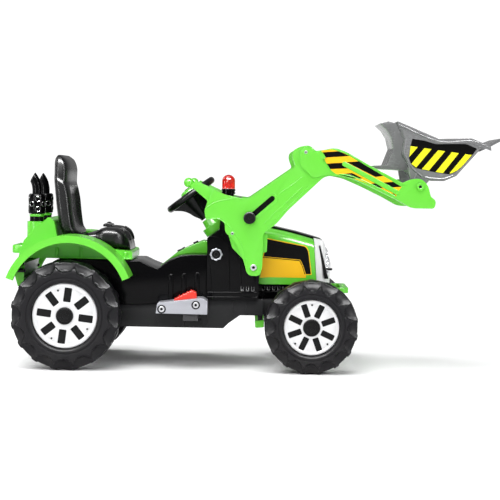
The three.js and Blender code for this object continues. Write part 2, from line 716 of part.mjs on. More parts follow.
function tieRod() {
  const x = FRONT.x - STEER_ARM.length;
  const top = FRONT.radius - 9 - 6;
  const bar = box(x - 6, x + 6, -KINGPIN.y, KINGPIN.y, top - 8, top);
  const ends = [-KINGPIN.y, KINGPIN.y].map((y) => box(x - 11, x + 15, y - 10, y + 10, top - 8, top));
  const slots = [-KINGPIN.y, KINGPIN.y].map((y) => box(x - 5, x + 10, y - 5.5, y + 5.5, 0, 300));
  return cut(join(bar, ...ends), ...slots);
}

const battery = () => box(-345, -195, -50, 50, HULL.bottom + WALL + GAP, 215);
const boomShaft = () => rodY(BOOM_PIVOT.x, BOOM_PIVOT.z, BOOM_PIVOT.radius, -ARM_OUTER - 3, ARM_OUTER + 3);

// ---------------------------------------------------------------- loader
const LEVER = [[-168, 514], [-156, 531, 4], [-100, 506], [-72, 492, 10]];
const PLATE_TOP = [[-36, 485, 12], [-7, 482, 8]];
const ELBOW = [[122, 574, 6], [112, 601, 10], [114, 618, 10], [132, 629, 10], [160, 634, 12], [177, 618, 4]];
const UPPER_TOP = [[200, 621, 12], [229, 628, 16], [262, 617, 12], [329, 580], [420, 534, 4]];
const END_EAR = [
  [444, 545, 12], [472, 547, 14], [491, 528, 10], [499, 497, 6], [514, 486, 8], [510, 464, 9], [446, 464, 12],
];
const UPPER_BOTTOM = [[398, 490], [330, 522], [278, 544, 12], [236, 552, 12], [202, 547, 12]];
const BOOM_BOTTOM = [[104, 453, 10], [70, 412, 10], [36, 387, 8]];
const FOOT = [[35, 290, 14], [28, 268, 14], [-6, 268, 14], [-16, 305, 12]];
const PLATE_LEFT = [
  [-22, 322, 10], [-46, 368, 10], [-71, 388, 10], [-71, 414, 8], [-86, 428, 8], [-124, 422, 4],
];
const LEVER_ROOT = [[-129, 446, 8], [-120, 474, 6]];

function boomArm() {
  const side = [
    ...LEVER, ...PLATE_TOP, ...ELBOW, ...UPPER_TOP, ...END_EAR,
    ...UPPER_BOTTOM, ...BOOM_BOTTOM, ...FOOT, ...PLATE_LEFT, ...LEVER_ROOT,
  ];
  const ball = solid(
    new THREE.SphereGeometry(13.5, 12, 8).translate(-174, -(ARM_INNER + ARM_OUTER) / 2, 524),
  );
  const thin = [-1, 1].map((face) => {
    const y = -(ARM_INNER + ARM_OUTER) / 2 + face * 20;
    return plate([[-190, 440], [-132, 440], [-96, 530], [-190, 560]], y - 12, y + 12);
  });
  const [x0, z0] = SLIDER.from;
  const [x1, z1] = SLIDER.to;
  const length = Math.hypot(x1 - x0, z1 - z0);
  const width = SLIDER.stem + 0.8;
  const slot = new THREE.Shape();
  slot.absarc(length, 0, width, -Math.PI / 2, Math.PI / 2, false);
  slot.absarc(0, 0, width, Math.PI / 2, (3 * Math.PI) / 2, false);
  const slotTool = solid(
    new THREE.ExtrudeGeometry(slot, { depth: 100, bevelEnabled: false, curveSegments: 8 })
      .rotateX(Math.PI / 2)
      .rotateY(-Math.atan2(z1 - z0, x1 - x0))
      .translate(x0, -ARM_INNER + 30, z0),
  );
  return cut(
    join(cut(plate(side, -ARM_OUTER, -ARM_INNER, 2), ...thin), ball),
    slotTool,
    rodY(BOOM_PIVOT.x, BOOM_PIVOT.z, BOOM_PIVOT.radius + RUN, -400, 0),
    rodY(BUCKET_PIVOT.x, BUCKET_PIVOT.z, BUCKET_PIVOT.radius + RUN, -400, 0),
  );
}

const elbowCap = () => {
  const lid = [
    [135, 576, 3], [171, 543, 6], [222, 555, 3], [196, 594, 3], [206, 600, 4], [193, 618, 4], [178, 614, 3],
    [166, 627, 8], [148, 631, 10], [134, 616, 8],
  ];
  return plate(lid, -ARM_OUTER - GAP - ARM.capThick, -ARM_OUTER - GAP);
};

const slider = () => {
  const [x, z] = SLIDER.from;
  const face = -ARM_OUTER - GAP;
  const { knob, knobThick } = SLIDER;
  const profile = [[0, 0], [knob, 0], [knob, 4 - knobThick], [knob - 4, -knobThick], [0, -knobThick]];
  return join(turned(profile, x, face, z, 24, false), rodY(x, z, SLIDER.stem, face - 1, -ARM_INNER - 2));
};

const crossTube = () => rodY(232, 588, 12, -ARM_INNER + GAP, ARM_INNER - GAP);
const bucketPin = () =>
  rodY(BUCKET_PIVOT.x, BUCKET_PIVOT.z, BUCKET_PIVOT.radius, -ARM_OUTER - 3, ARM_OUTER + 3);

// The bucket: floor and back as one bent sheet, two sides with a rim, a cutting lip and a braced back.
const BUCKET_TOP = [[668, 641], [614, 662], [522, 659], [407, 706]];
const BUCKET_SHEET = [
  [428, 660], [424, 615], [436, 592], [452, 572], [478, 551], [505, 541], [540, 541], [574, 556], [640, 632],
];

function bucketLip(half) {
  const reach = half - 2;
  const past = half + 128;
  const blade = plate([[634, 625], [640, 626], [714, 662], [710, 666], [664, 646]], -reach, reach);
  const corner = (side) =>
    slab(
      [[664, side * (half - 1)], [720, side * (half - 52)], [720, side * past], [664, side * past]],
      600, 700,
    );
  return cut(blade, corner(1), corner(-1));
}

function bucket() {
  const half = BUCKET.halfWidth - BUCKET.rim;
  const lifted = BUCKET_TOP.map(([x, z]) => [x, z + 30]);
  const tub = cut(
    plate([...BUCKET_TOP, ...BUCKET_SHEET], -half, half),
    plate(inset([...lifted, ...BUCKET_SHEET], BUCKET.wall), BUCKET.wall - half, half - BUCKET.wall),
  );
  const rimLine = [...BUCKET_TOP, ...[...BUCKET_TOP].reverse().map(([x, z]) => [x + 2, z - 13])];
  const lug = [[438, 592], [451, 527, 8], [459, 509, 8], [478, 509, 8], [487, 527, 6], [503, 548]];
  const brace = [
    [364, 702], [387, 708], [412, 702], [431, 655], [426, 615], [441, 590], [444, 570],
    [350, 574], [350, 582], [386, 584], [404, 632], [396, 664], [382, 686],
  ];
  const sides = [-1, 1].flatMap((side) => {
    const across = (a, b) => [a * side, b * side].sort((p, q) => p - q);
    return [plate(rimLine, ...across(half - 1, BUCKET.halfWidth)), plate(lug, ...across(half - 22, half))];
  });
  const pinWay = rodY(BUCKET_PIVOT.x, BUCKET_PIVOT.z, BUCKET_PIVOT.radius + RUN, -400, 400);
  return cut(join(tub, ...sides, plate(brace, -BUCKET.brace, BUCKET.brace), bucketLip(half)), pinWay);
}

// ---------------------------------------------------------------- assembly
const loader = new THREE.Group();

function add(name, body, material, otherSide = false) {
  const geometry = geometryOf(body);
  const mesh = new THREE.Mesh(otherSide ? mirrored(geometry) : geometry, material);
  mesh.name = name;
  loader.add(mesh);
}

function addPair(name, body, material) {
  add(name + "_right", body, material);
  add(name + "_left", body, material, true);
}

add("hull", hull(), HULL_GREY);
add("deck", deck(), BLACK);
add("tower", tower(), BLACK);
add("hood", hood(), GREEN);
add("grille_surround", grilleSurround(), WHITE);
addPair("headlamp", headlamp(), SILVER);
add("bumper", bumper(), GREEN);
add("rear_body", rearBody(), GREEN);
add("rear_handle", rearHandle(), GREEN);
add("seat_back", seatBack(), SEAT_BLACK);
add("seat_base", seatBase(), SEAT_BLACK);
addPair("stack_pipe", stackPipe(), BLACK);
addPair("stack_shield", stackShield(), BLACK);
add("console", consoleHump(), GREEN);
add("rocker_switch", rocker(), BLACK);
add("start_button", startButton(), BLACK);
add("column_cover", columnCover(), GREEN);
add("steering_wheel", steeringWheel(), BLACK);
add("wheel_pad", wheelPad(), GREEN);
add("steering_shaft", columnRod(COLUMN.shaft, 12, COLUMN.length), STEEL);
add("beacon_base", beaconBase(), BLACK);
add("beacon_dome", beaconDome(), RED);
addPair("side_knob", sideKnob(), SILVER);
add("step_plate_right", stepPlate(true), SILVER);
add("step_plate_left", stepPlate(false), SILVER, true);
add("pedal", pedal(), RED);
add("battery", battery(), BLACK);
addPair("gearbox", gearbox(), BLACK);
add("rear_axle", rearAxle(), STEEL);
add("front_axle", frontAxle(), STEEL);
addPair("knuckle", knuckle(), STEEL);
add("tie_rod", tieRod(), STEEL);
for (const [name, wheel] of [["rear", REAR], ["front", FRONT]]) {
  addPair("tyre_" + name, tyre(wheel), TYRE);
  addPair("wheel_disc_" + name, wheelDisc(wheel), WHITE);
  addPair("hub_cap_" + name, hubCap(wheel), BLACK);
}
add("boom_shaft", boomShaft(), STEEL);
addPair("boom_arm", boomArm(), GREEN);
addPair("elbow_cap", elbowCap(), GREEN);
add("cross_tube", crossTube(), GREEN);
add("bucket_pin", bucketPin(), STEEL);
addPair("slider", slider(), BLACK);
add("bucket", bucket(), BUCKET_GREY);

// The origin goes to the middle of the footprint, on the ground.
const extent = new THREE.Box3().setFromObject(loader);
loader.position.set(-(extent.min.x + extent.max.x) / 2, 0, -extent.min.z);

export default loader;
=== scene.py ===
"""Child's ride-on tractor with a front loader: the finished look of its moulded and metal pieces."""
import math

import bmesh
import bpy
from mathutils import Matrix, Vector


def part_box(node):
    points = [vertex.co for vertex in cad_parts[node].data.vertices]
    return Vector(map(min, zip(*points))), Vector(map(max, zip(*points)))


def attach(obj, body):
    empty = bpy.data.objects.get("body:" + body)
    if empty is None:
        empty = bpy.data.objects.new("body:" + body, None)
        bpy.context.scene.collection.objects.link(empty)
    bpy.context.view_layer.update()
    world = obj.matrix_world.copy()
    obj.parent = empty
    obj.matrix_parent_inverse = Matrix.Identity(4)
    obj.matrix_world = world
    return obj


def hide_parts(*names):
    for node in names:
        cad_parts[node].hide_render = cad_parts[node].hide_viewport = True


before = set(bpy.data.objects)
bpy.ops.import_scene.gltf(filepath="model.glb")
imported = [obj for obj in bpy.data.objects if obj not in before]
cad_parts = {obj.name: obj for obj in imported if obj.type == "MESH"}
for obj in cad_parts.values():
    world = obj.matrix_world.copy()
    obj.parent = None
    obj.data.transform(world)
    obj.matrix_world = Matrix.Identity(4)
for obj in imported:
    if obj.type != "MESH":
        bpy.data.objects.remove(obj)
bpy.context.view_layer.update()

# ------------------------------------------------------------------ drawing frame
# Outlines are drawn in millimetres, with the rear axle at x = -507. SHIFT takes them to the frame.
MM = 0.001
REAR_AXLE_X = -507
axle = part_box("rear_axle")
SHIFT = 500 * (axle[0][0] + axle[1][0]) - REAR_AXLE_X
TO_FRAME = Matrix.Translation((SHIFT * MM, 0, 0)) @ Matrix.Diagonal((MM, MM, MM, 1))

ARM_INNER, ARM_OUTER = 190, 220
TOWER_SIDE = 150
DECK_SIDE = 145
HULL_SIDE = 135
NOSE_SIDE = 95
COWL_SIDE = 142
HOOD_SIDE = 120
FENDER_SIDE = 285
REAR = dict(x=-507, radius=151, inner=165, width=116, disc=90, slot=21, slots=(38, 78), turn=83,
            holes=(72, 105.5, -29.5, -119.5))
FRONT = dict(x=174, radius=130, inner=165, width=110, disc=77, slot=17, slots=(30, 68), turn=20,
             holes=(63, 90, -45, -135))
DISC_SCREW = dict(radius=2.7, proud=7.4, foot=3)
COLUMN_LEAN = math.radians(36.87)
COLUMN_TOP = Vector((-175, 0, 488))

# ------------------------------------------------------------------ shader groups
def group(name, inputs, outputs):
    """A node group with named sockets: inputs are {name: value}, and a value of three numbers is a vector."""
    tree = bpy.data.node_groups.new(name, "ShaderNodeTree")
    for label, value in inputs.items():
        kind = "NodeSocketVector" if isinstance(value, tuple) else "NodeSocketFloat"
        tree.interface.new_socket(name=label, in_out="INPUT", socket_type=kind).default_value = value
    for label in outputs:
        tree.interface.new_socket(name=label, in_out="OUTPUT", socket_type="NodeSocketFloat")
    return tree, tree.nodes.new("NodeGroupInput"), tree.nodes.new("NodeGroupOutput")


def noise(tree, where, scale, detail=2.0, roughness=0.5):
    """Noise with a fixed or a linked scale."""
    node = tree.nodes.new("ShaderNodeTexNoise")
    node.inputs["Detail"].default_value = detail
    node.inputs["Roughness"].default_value = roughness
    tree.links.new(where, node.inputs["Vector"])
    if isinstance(scale, (int, float)):
        node.inputs["Scale"].default_value = scale
    else:
        tree.links.new(scale, node.inputs["Scale"])
    return node.outputs["Fac"]


def reckon(tree, operation, a, b=None, clamp=False):
    """A maths node on sockets or numbers."""
    node = tree.nodes.new("ShaderNodeMath")
    node.operation = operation
    node.use_clamp = clamp
    for socket, value in zip(node.inputs, (a, b)):
        if isinstance(value, (int, float)):
            socket.default_value = value
        elif value is not None:
            tree.links.new(value, socket)
    return node.outputs[0]


def ramp(tree, value, low, high, to_low=0.0, to_high=1.0):
    """The value's stretch from low to high spread over to_low to to_high."""
    node = tree.nodes.new("ShaderNodeMapRange")
    node.clamp = True
    tree.links.new(value, node.inputs["Value"])
    for label, number in (("From Min", low), ("From Max", high), ("To Min", to_low), ("To Max", to_high)):
        if isinstance(number, (int, float)):
            node.inputs[label].default_value = number
        else:
            tree.links.new(number, node.inputs[label])
    return node.outputs["Result"]


def moulded_grain():
    """Spark-eroded tool texture: fine grain, and the slow unevenness of a blow-moulded skin."""
    tree, taken, given = group("Moulded grain", {"Coordinate": (0, 0, 0), "Grain": 900.0, "Ripple": 14.0},
                               ["Height", "Ripple height"])
    fine = noise(tree, taken.outputs["Coordinate"], taken.outputs["Grain"], 3.0, 0.6)
    slow = noise(tree, taken.outputs["Coordinate"], taken.outputs["Ripple"], 1.0)
    tree.links.new(fine, given.inputs["Height"])
    tree.links.new(slow, given.inputs["Ripple height"])
    return tree


def handling_marks():
    """Faint rubbed patches and hair scratches from handling."""
    tree, taken, given = group("Handling marks", {"Coordinate": (0, 0, 0), "Size": 26.0, "Amount": 0.2},
                               ["Roughness", "Mask"])
    stretch = tree.nodes.new("ShaderNodeVectorMath")
    stretch.operation = "MULTIPLY"
    stretch.inputs[1].default_value = (0.35, 1.0, 2.6)
    tree.links.new(taken.outputs["Coordinate"], stretch.inputs[0])
    hair = noise(tree, stretch.outputs[0], reckon(tree, "MULTIPLY", taken.outputs["Size"], 9.0), 4.0, 0.7)
    patch = noise(tree, taken.outputs["Coordinate"], taken.outputs["Size"], 3.0)
    mask = reckon(tree, "MULTIPLY", ramp(tree, patch, 0.5, 0.72), ramp(tree, hair, 0.42, 0.68))
    amount = reckon(tree, "MULTIPLY", mask, taken.outputs["Amount"])
    tree.links.new(amount, given.inputs["Roughness"])
    tree.links.new(mask, given.inputs["Mask"])
    return tree


def ground_dust():
    """Dust that settles low down and in patches."""
    tree, taken, given = group("Ground dust", {"Coordinate": (0, 0, 0), "Height": 0.16, "Amount": 0.25},
                               ["Mask"])
    split = tree.nodes.new("ShaderNodeSeparateXYZ")
    tree.links.new(taken.outputs["Coordinate"], split.inputs[0])
    low = ramp(tree, split.outputs["Z"], 0.0, taken.outputs["Height"], 1.0, 0.0)
    cloud = ramp(tree, noise(tree, taken.outputs["Coordinate"], 22.0, 5.0, 0.65), 0.38, 0.75)
    mask = reckon(tree, "MULTIPLY", reckon(tree, "MULTIPLY", low, cloud), taken.outputs["Amount"], True)
    tree.links.new(mask, given.inputs["Mask"])
    return tree


GRAIN, MARKS, DUST = moulded_grain(), handling_marks(), ground_dust()


def placed(tree, what, **values):
    node = tree.nodes.new("ShaderNodeGroup")
    node.node_tree = what
    for label, value in values.items():
        node.inputs[label].default_value = value
    return node


def moulding(name, colour, roughness, grain=900.0, depth=0.25, ripple=0.0, ripple_size=14.0, marks=0.12,
             dust=0.0, metallic=0.0, coat=0.0, shade=0.12, shine=0.5, extra=None):
    """A moulded or painted finish: a slow colour shift, grain, ripple, rubbed patches and low dust."""
    material = bpy.data.materials.new(name)
    material.use_nodes = True
    tree = material.node_tree
    shader = tree.nodes["Principled BSDF"]
    shader.inputs["Metallic"].default_value = metallic
    shader.inputs["Specular IOR Level"].default_value = shine
    shader.inputs["Coat Weight"].default_value = coat
    shader.inputs["Coat Roughness"].default_value = 0.06
    where = tree.nodes.new("ShaderNodeTexCoord").outputs["Object"]
    texture = placed(tree, GRAIN, Grain=grain, Ripple=ripple_size)
    worn = placed(tree, MARKS, Amount=marks)
    for node in (texture, worn):
        tree.links.new(where, node.inputs["Coordinate"])
    tint = tree.nodes.new("ShaderNodeMix")
    tint.data_type = "RGBA"
    tint.inputs["A"].default_value = (*colour, 1)
    tint.inputs["B"].default_value = (*[c * (1 - shade) for c in colour], 1)
    tree.links.new(texture.outputs["Ripple height"], tint.inputs["Factor"])
    paint = tint.outputs["Result"]
    rough = reckon(tree, "ADD", worn.outputs["Roughness"], roughness, True)
    if dust:
        settled = placed(tree, DUST, Amount=dust)
        tree.links.new(where, settled.inputs["Coordinate"])
        powder = tree.nodes.new("ShaderNodeMix")
        powder.data_type = "RGBA"
        powder.inputs["B"].default_value = (0.30, 0.28, 0.25, 1)
        tree.links.new(paint, powder.inputs["A"])
        tree.links.new(settled.outputs["Mask"], powder.inputs["Factor"])
        paint = powder.outputs["Result"]
        rough = reckon(tree, "ADD", rough, settled.outputs["Mask"], True)
    tree.links.new(paint, shader.inputs["Base Color"])
    tree.links.new(rough, shader.inputs["Roughness"])
    height = texture.outputs["Height"]
    fine = tree.nodes.new("ShaderNodeBump")
    fine.inputs["Strength"].default_value = depth
    fine.inputs["Distance"].default_value = 0.0002
    tree.links.new(height, fine.inputs["Height"])
    if ripple:
        slow = tree.nodes.new("ShaderNodeBump")
        slow.inputs["Strength"].default_value = ripple
        slow.inputs["Distance"].default_value = 0.004
        tree.links.new(texture.outputs["Ripple height"], slow.inputs["Height"])
        tree.links.new(slow.outputs["Normal"], fine.inputs["Normal"])
    tree.links.new(fine.outputs["Normal"], shader.inputs["Normal"])
    if extra:
        extra(tree, shader)
    return material


def lens(tree, shader):
    shader.inputs["Transmission Weight"].default_value = 0.45
    shader.inputs["IOR"].default_value = 1.45
    # The faint red emission is a painted glow; no lamp is in the beacon.
    shader.inputs["Emission Color"].default_value = (0.9, 0.03, 0.01, 1)
    shader.inputs["Emission Strength"].default_value = 0.07


GREEN = (0.122, 0.565, 0.036)
FINISHES = {
    "hull grey": (moulding("Hull, grained grey", (0.0085, 0.0088, 0.0098), 0.45, 700, 0.5, dust=0.05,
                           shine=0.16), "hull_grey"),
    "black": (moulding("Body, gloss black", (0.0017, 0.0017, 0.0021), 0.13, 1400, 0.03, 0.10, 9, marks=0.04,
                       shine=0.08),
              "gloss_black"),
    "green": (moulding("Body, lime green", GREEN, 0.25, 1100, 0.06, 0.03, 8, marks=0.03, shade=0.05,
                       shine=0.32), "lime_green"),
    "white": (moulding("Trim, white", (0.69, 0.69, 0.70), 0.28, 1100, 0.06, 0.04, shade=0.05, shine=0.35),
              "white_plastic"),
    "lamp": (moulding("Lamp, bright silver", (0.60, 0.61, 0.63), 0.16, 120, 0.9, 0.5, 60, metallic=1.0),
             "lamp_silver"),
    "seat": (moulding("Seat, soft gloss black", (0.0032, 0.0032, 0.0038), 0.27, 650, 0.12, 0.10, 11,
                      marks=0.06, shine=0.27),
             "seat_black"),
    "control black": (moulding("Controls, satin black", (0.0028, 0.0028, 0.0032), 0.30, 900, 0.25,
                               marks=0.06, shine=0.15),
                      "control_black"),
    "tyre": (moulding("Tyre, satin charcoal", (0.0108, 0.0104, 0.0120), 0.36, 600, 0.35, 0.06, 20,
                      dust=0.05, shine=0.10),
             "tyre_plastic"),
    "silver": (moulding("Metallic silver", (0.35, 0.355, 0.39), 0.30, 1300, 0.2, metallic=0.35, coat=0.1),
               "step_silver"),
    "beacon": (moulding("Beacon lens, clear red", (0.66, 0.012, 0.005), 0.06, 400, 0.05, coat=0.3,
                        extra=lens), "beacon_red"),
    "red": (moulding("Pedal, red", (0.80, 0.030, 0.015), 0.28, 900, 0.12, shine=0.35), "pedal_red"),
    "zinc": (moulding("Zinc-plated steel", (0.50, 0.50, 0.52), 0.30, 1500, 0.2, metallic=1.0), "steel"),
    "bucket": (moulding("Bucket, metallic grey", (0.160, 0.161, 0.165), 0.26, 1200, 0.2, 0.07, 9, coat=0.1,
                        metallic=0.15,
                        shine=0.4), "bucket_grey"),
    "case": (moulding("Cases, matt black", (0.008, 0.008, 0.008), 0.6, 500, 0.4, shine=0.2), "case_black"),
    # A lighter, fully coated copy of the gloss black. The coat gives real reflections, and the lighter base
    # colour is painted highlight on louvre frames and hole rims.
    "black with painted highlight": (moulding("Body black, lightened as painted highlight", (0.045, 0.045, 0.047), 0.12, 1400, 0.04,
                              coat=1.0, shine=1.0),
                     "gloss_black"),
    "pad grey": (moulding("Step foot, dark grey", (0.042, 0.042, 0.044), 0.4, 900, 0.3, shine=0.3),
                 "step_silver"),
    "ink black": (moulding("Sticker, black print", (0.0020, 0.0020, 0.0020), 0.22, 2000, 0.03, marks=0.04,
                           shine=0.08),
                  "gloss_black"),
    "ink amber": (moulding("Sticker, amber print", (0.90, 0.50, 0.004), 0.28, 2000, 0.03, marks=0.06,
                           shine=0.2), "lime_green"),
    "ink yellow": (moulding("Sticker, yellow print", (0.80, 0.79, 0.012), 0.28, 2000, 0.03, marks=0.06,
                            shine=0.2),
                   "bucket_grey"),
}

# ------------------------------------------------------------------ shaping tools, all in drawing millimetres
def rounded(points, steps=5):
    """A closed outline of [a, b] or [a, b, corner radius] with its corners rounded."""
    line = []
    for i, (a, b, *radius) in enumerate(points):
        corner = Vector((a, b))
        before = Vector(points[i - 1][:2]) - corner
        after = Vector(points[(i + 1) % len(points)][:2]) - corner
        reach = min(radius[0] if radius else 0, before.length / 2.1, after.length / 2.1)
        if reach <= 0:
            line.append((a, b))
            continue
        enter, leave = corner + before.normalized() * reach, corner + after.normalized() * reach
        for k in range(steps + 1):
            t = k / steps
            line.append(tuple((1 - t) ** 2 * enter + 2 * t * (1 - t) * corner + t * t * leave))
    return line


def inset(points, wall):
    """The outline moved inwards by a wall."""
    count = len(points)
    area = sum(points[i - 1][0] * points[i][1] - points[i][0] * points[i - 1][1] for i in range(count))
    side = math.copysign(1, area)
    edges = []
    for i, (a, b, *_) in enumerate(points):
        run = Vector(points[(i + 1) % count][:2]) - Vector((a, b))
        normal = Vector((-run.y, run.x)).normalized() * side * wall
        edges.append((Vector((a, b)) + normal, run))
    moved = []
    for i, (start, run) in enumerate(edges):
        last, last_run = edges[i - 1]
        cross = last_run.x * run.y - last_run.y * run.x
        gap = start - last
        moved.append(tuple(last + last_run * ((gap.x * run.y - gap.y * run.x) / cross)))
    return moved


def solid(bm, name="shape"):
    bmesh.ops.recalc_face_normals(bm, faces=bm.faces)
    mesh = bpy.data.meshes.new(name)
    bm.to_mesh(mesh)
    bm.free()
    shape = bpy.data.objects.new(name, mesh)
    bpy.context.collection.objects.link(shape)
    return shape


def drawn_out(line, low, high, plane="XZ"):
    """A closed outline in one plane, drawn out across it."""
    across = {"XZ": lambda a, b, h: (a, h, b), "XY": lambda a, b, h: (a, b, h), "YZ": lambda a, b,
              h: (h, a, b)}[plane]
    bm = bmesh.new()
    rings = [[bm.verts.new(across(a, b, h)) for a, b in line] for h in (low, high)]
    bm.faces.new(rings[0])
    bm.faces.new(list(reversed(rings[1])))
    for i in range(len(line)):
        bm.faces.new((rings[0][i - 1], rings[0][i], rings[1][i], rings[1][i - 1]))
    return solid(bm)


def plate(points, low, high, plane="XZ", steps=5):
    return drawn_out(rounded(points, steps), low, high, plane)


def turned(profile, centre, segments=64, axis="Y", shaped=None):
    """[radius, height] points turned about an axis. A profile that ends where it began makes a ring."""
    bm = bmesh.new()
    looped = profile[0] == profile[-1]
    points = profile[:-1] if looped else profile
    rings = []
    for j, (radius, height) in enumerate(points):
        ring = []
        for i in range(1 if radius == 0 else segments):
            angle = 2 * math.pi * i / segments
            r, h = shaped(j, angle, radius, height) if shaped else (radius, height)
            a, b = r * math.cos(angle), r * math.sin(angle)
            ring.append(bm.verts.new((a, h, b) if axis == "Y" else (a, b, h)))
        rings.append(ring)
    pairs = list(zip(rings, rings[1:])) + ([(rings[-1], rings[0])] if looped else [])
    for low, high in pairs:
        for i in range(segments):
            k = (i + 1) % segments
            corners = [low[i % len(low)], low[k % len(low)], high[k % len(high)], high[i % len(high)]]
            unique = [v for n, v in enumerate(corners) if v not in corners[:n]]
            if len(unique) > 2:
                bm.faces.new(unique)
    bmesh.ops.translate(bm, verts=bm.verts, vec=centre)
    return solid(bm)


def rod(start, end, radius, segments=32):
    start, end = Vector(start), Vector(end)
    bm = bmesh.new()
    turn = (end - start).to_track_quat("Z", "Y").to_matrix().to_4x4()
    place = Matrix.Translation((start + end) / 2) @ turn
    bmesh.ops.create_cone(bm, cap_ends=True, segments=segments, radius1=radius, radius2=radius,
                          depth=(end - start).length, matrix=place)
    return solid(bm)


def swept(points, radius, segments=24, smooth=8, closed_ends=True):
    """A round bar through points, on a smooth curve."""
    line = []
    ends = [points[0], *points, points[-1]]
    for i in range(1, len(ends) - 2):
        p = [Vector(v) for v in ends[i - 1:i + 3]]
        for k in range(smooth):
            t = k / smooth
            line.append(0.5 * (2 * p[1] + (p[2] - p[0]) * t + (2 * p[0] - 5 * p[1] + 4 * p[2] - p[3]) * t * t
                               + (3 * p[1] - p[0] - 3 * p[2] + p[3]) * t ** 3))
    line.append(Vector(points[-1]))
    bm = bmesh.new()
    rings = []
    for i, point in enumerate(line):
        along = (line[min(i + 1, len(line) - 1)] - line[max(i - 1, 0)]).normalized()
        side = along.cross(Vector((0, 1, 0)) if abs(along.y) < 0.9 else Vector((1, 0, 0))).normalized()
        other = along.cross(side)
        ring = [point + radius * (math.cos(a) * side + math.sin(a) * other)
                for a in (2 * math.pi * n / segments for n in range(segments))]
        rings.append([bm.verts.new(v) for v in ring])
    for low, high in zip(rings, rings[1:]):
        for i in range(segments):
            bm.faces.new((low[i - 1], low[i], high[i], high[i - 1]))
    if closed_ends:
        bm.faces.new(rings[0])
        bm.faces.new(rings[-1])
    return solid(bm)


def lofted(rings):
    """A closed skin through rings of points."""
    bm = bmesh.new()
    made = [[bm.verts.new(p) for p in ring] for ring in rings]
    for low, high in zip(made, made[1:]):
        for i in range(len(low)):
            bm.faces.new((low[i - 1], low[i], high[i], high[i - 1]))
    bm.faces.new(made[0])
    bm.faces.new(list(reversed(made[-1])))
    return solid(bm)


def settle(shape):
    """Applies the shape's modifiers."""
    bpy.context.view_layer.update()
    graph = bpy.context.evaluated_depsgraph_get()
    mesh = bpy.data.meshes.new_from_object(shape.evaluated_get(graph))
    old = shape.data
    shape.modifiers.clear()
    shape.data = mesh
    bpy.data.meshes.remove(old)
    return shape


def combine(shape, tools, operation):
    for tool in tools:
        step = shape.modifiers.new("join", "BOOLEAN")
        step.operation = operation
        step.solver = "EXACT"
        step.object = tool
        settle(shape)
        bpy.data.objects.remove(tool)
    return shape


def cut(shape, *tools):
    return combine(shape, tools, "DIFFERENCE")


def join(shape, *others):
    return combine(shape, others, "UNION")


def mirror(shape):
    other = shape.copy()
    other.data = shape.data.copy()
    bpy.context.collection.objects.link(other)
    other.data.transform(Matrix.Diagonal((1, -1, 1, 1)))
    other.data.flip_normals()
    return other


def moved(shape, matrix):
    shape.data.transform(matrix)
    return shape


ON_COLUMN = Matrix.Translation(COLUMN_TOP) @ Matrix.Rotation(-COLUMN_LEAN, 4, "Y")


def of_node(node):
    """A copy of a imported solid, back in drawing millimetres, with its flat faces merged."""
    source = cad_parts[node]
    shape = bpy.data.objects.new(node, source.data.copy())
    bpy.context.collection.objects.link(shape)
    shape.data.materials.clear()
    shape.data.transform(TO_FRAME.inverted() @ source.matrix_world)
    bm = bmesh.new()
    bm.from_mesh(shape.data)
    bmesh.ops.remove_doubles(bm, verts=bm.verts, dist=0.02)
    bmesh.ops.dissolve_limit(bm, angle_limit=math.radians(1.5), verts=bm.verts, edges=bm.edges)
    bm.to_mesh(shape.data)
    bm.free()
    return shape


def make(shape, name, body, finish, edge=0.0, steps=3, angle=32, stands_for=(), pair=False, smooth=38,
         details=()):
    """Rounds a shape's edges, gives it its finish and fixes it to its body, on both sides for a pair."""
    if edge:
        bm = bmesh.new()
        bm.from_mesh(shape.data)
        bmesh.ops.remove_doubles(bm, verts=bm.verts, dist=0.01)
        bmesh.ops.dissolve_limit(bm, angle_limit=math.radians(0.8), verts=bm.verts, edges=bm.edges)
        bm.to_mesh(shape.data)
        bm.free()
        bevel = shape.modifiers.new("rounded edges", "BEVEL")
        bevel.width = edge
        bevel.segments = steps
        bevel.angle_limit = math.radians(angle)
        bevel.harden_normals = False
        settle(shape)
    for other in details:
        merge(shape, other)
    sides = [("right", shape)] + ([("left", mirror(shape))] if pair else [])
    for side, one in sides:
        one.name = name + ("_" + side if pair else "")
        one.data.name = one.name
        one.data.transform(TO_FRAME)
        one.data.shade_smooth()
        one.data.set_sharp_from_angle(angle=math.radians(smooth))
        material, slot = FINISHES[finish]
        if not one.data.materials:
            one.data.materials.append(material)
        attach(one, body.replace("*", side))
        if stands_for:
            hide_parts(*[node.replace("*", side) for node in stands_for])
    return shape


def merge(shape, other):
    """Adds another shape's faces to this one's mesh."""
    bm = bmesh.new()
    bm.from_mesh(shape.data)
    bm.from_mesh(other.data)
    bm.to_mesh(shape.data)
    bm.free()
    bpy.data.objects.remove(other)
    return shape


def refined(node, body, finish, edge, steps=3, angle=32, pair=False, smooth=38, name=None):
    """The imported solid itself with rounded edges."""
    source = node + "_right" if pair else node
    target = node + "_*" if pair else node
    return make(of_node(source), name or node + "_skin", body, finish, edge, steps, angle, (target,), pair,
                smooth)


def socket_bolt(name, x, z, face, body, radius=7, proud=3, finish="zinc", pair=True):
    """A screw head on a side face, with its socket, whose floor is a black disc: painted shade in the socket.
    """
    profile = [[0, 0], [radius, 0], [radius, -proud + 1], [radius - 1, -proud], [radius * 0.55, -proud],
               [radius * 0.5, -proud + 2.2], [0, -proud + 2.2]]
    head = turned(profile, (x, face, z), 24)
    make(head, name, body, finish, pair=pair, smooth=30)
    # A black disc on the socket's floor is painted shade.
    socket_floor_shade = turned([[0, -proud + 2.0], [radius * 0.49, -proud + 2.0], [0, -proud + 1.9]], (x, face, z), 6)
    make(socket_floor_shade, name + "_socket", body, "control black", pair=pair)


# ------------------------------------------------------------------ wheels
def ease(low, high, value):
    t = min(1.0, max(0.0, (value - low) / (high - low)))
    return t * t * (3 - 2 * t)


LUGS = 16
STEPS_PER_LUG = 28


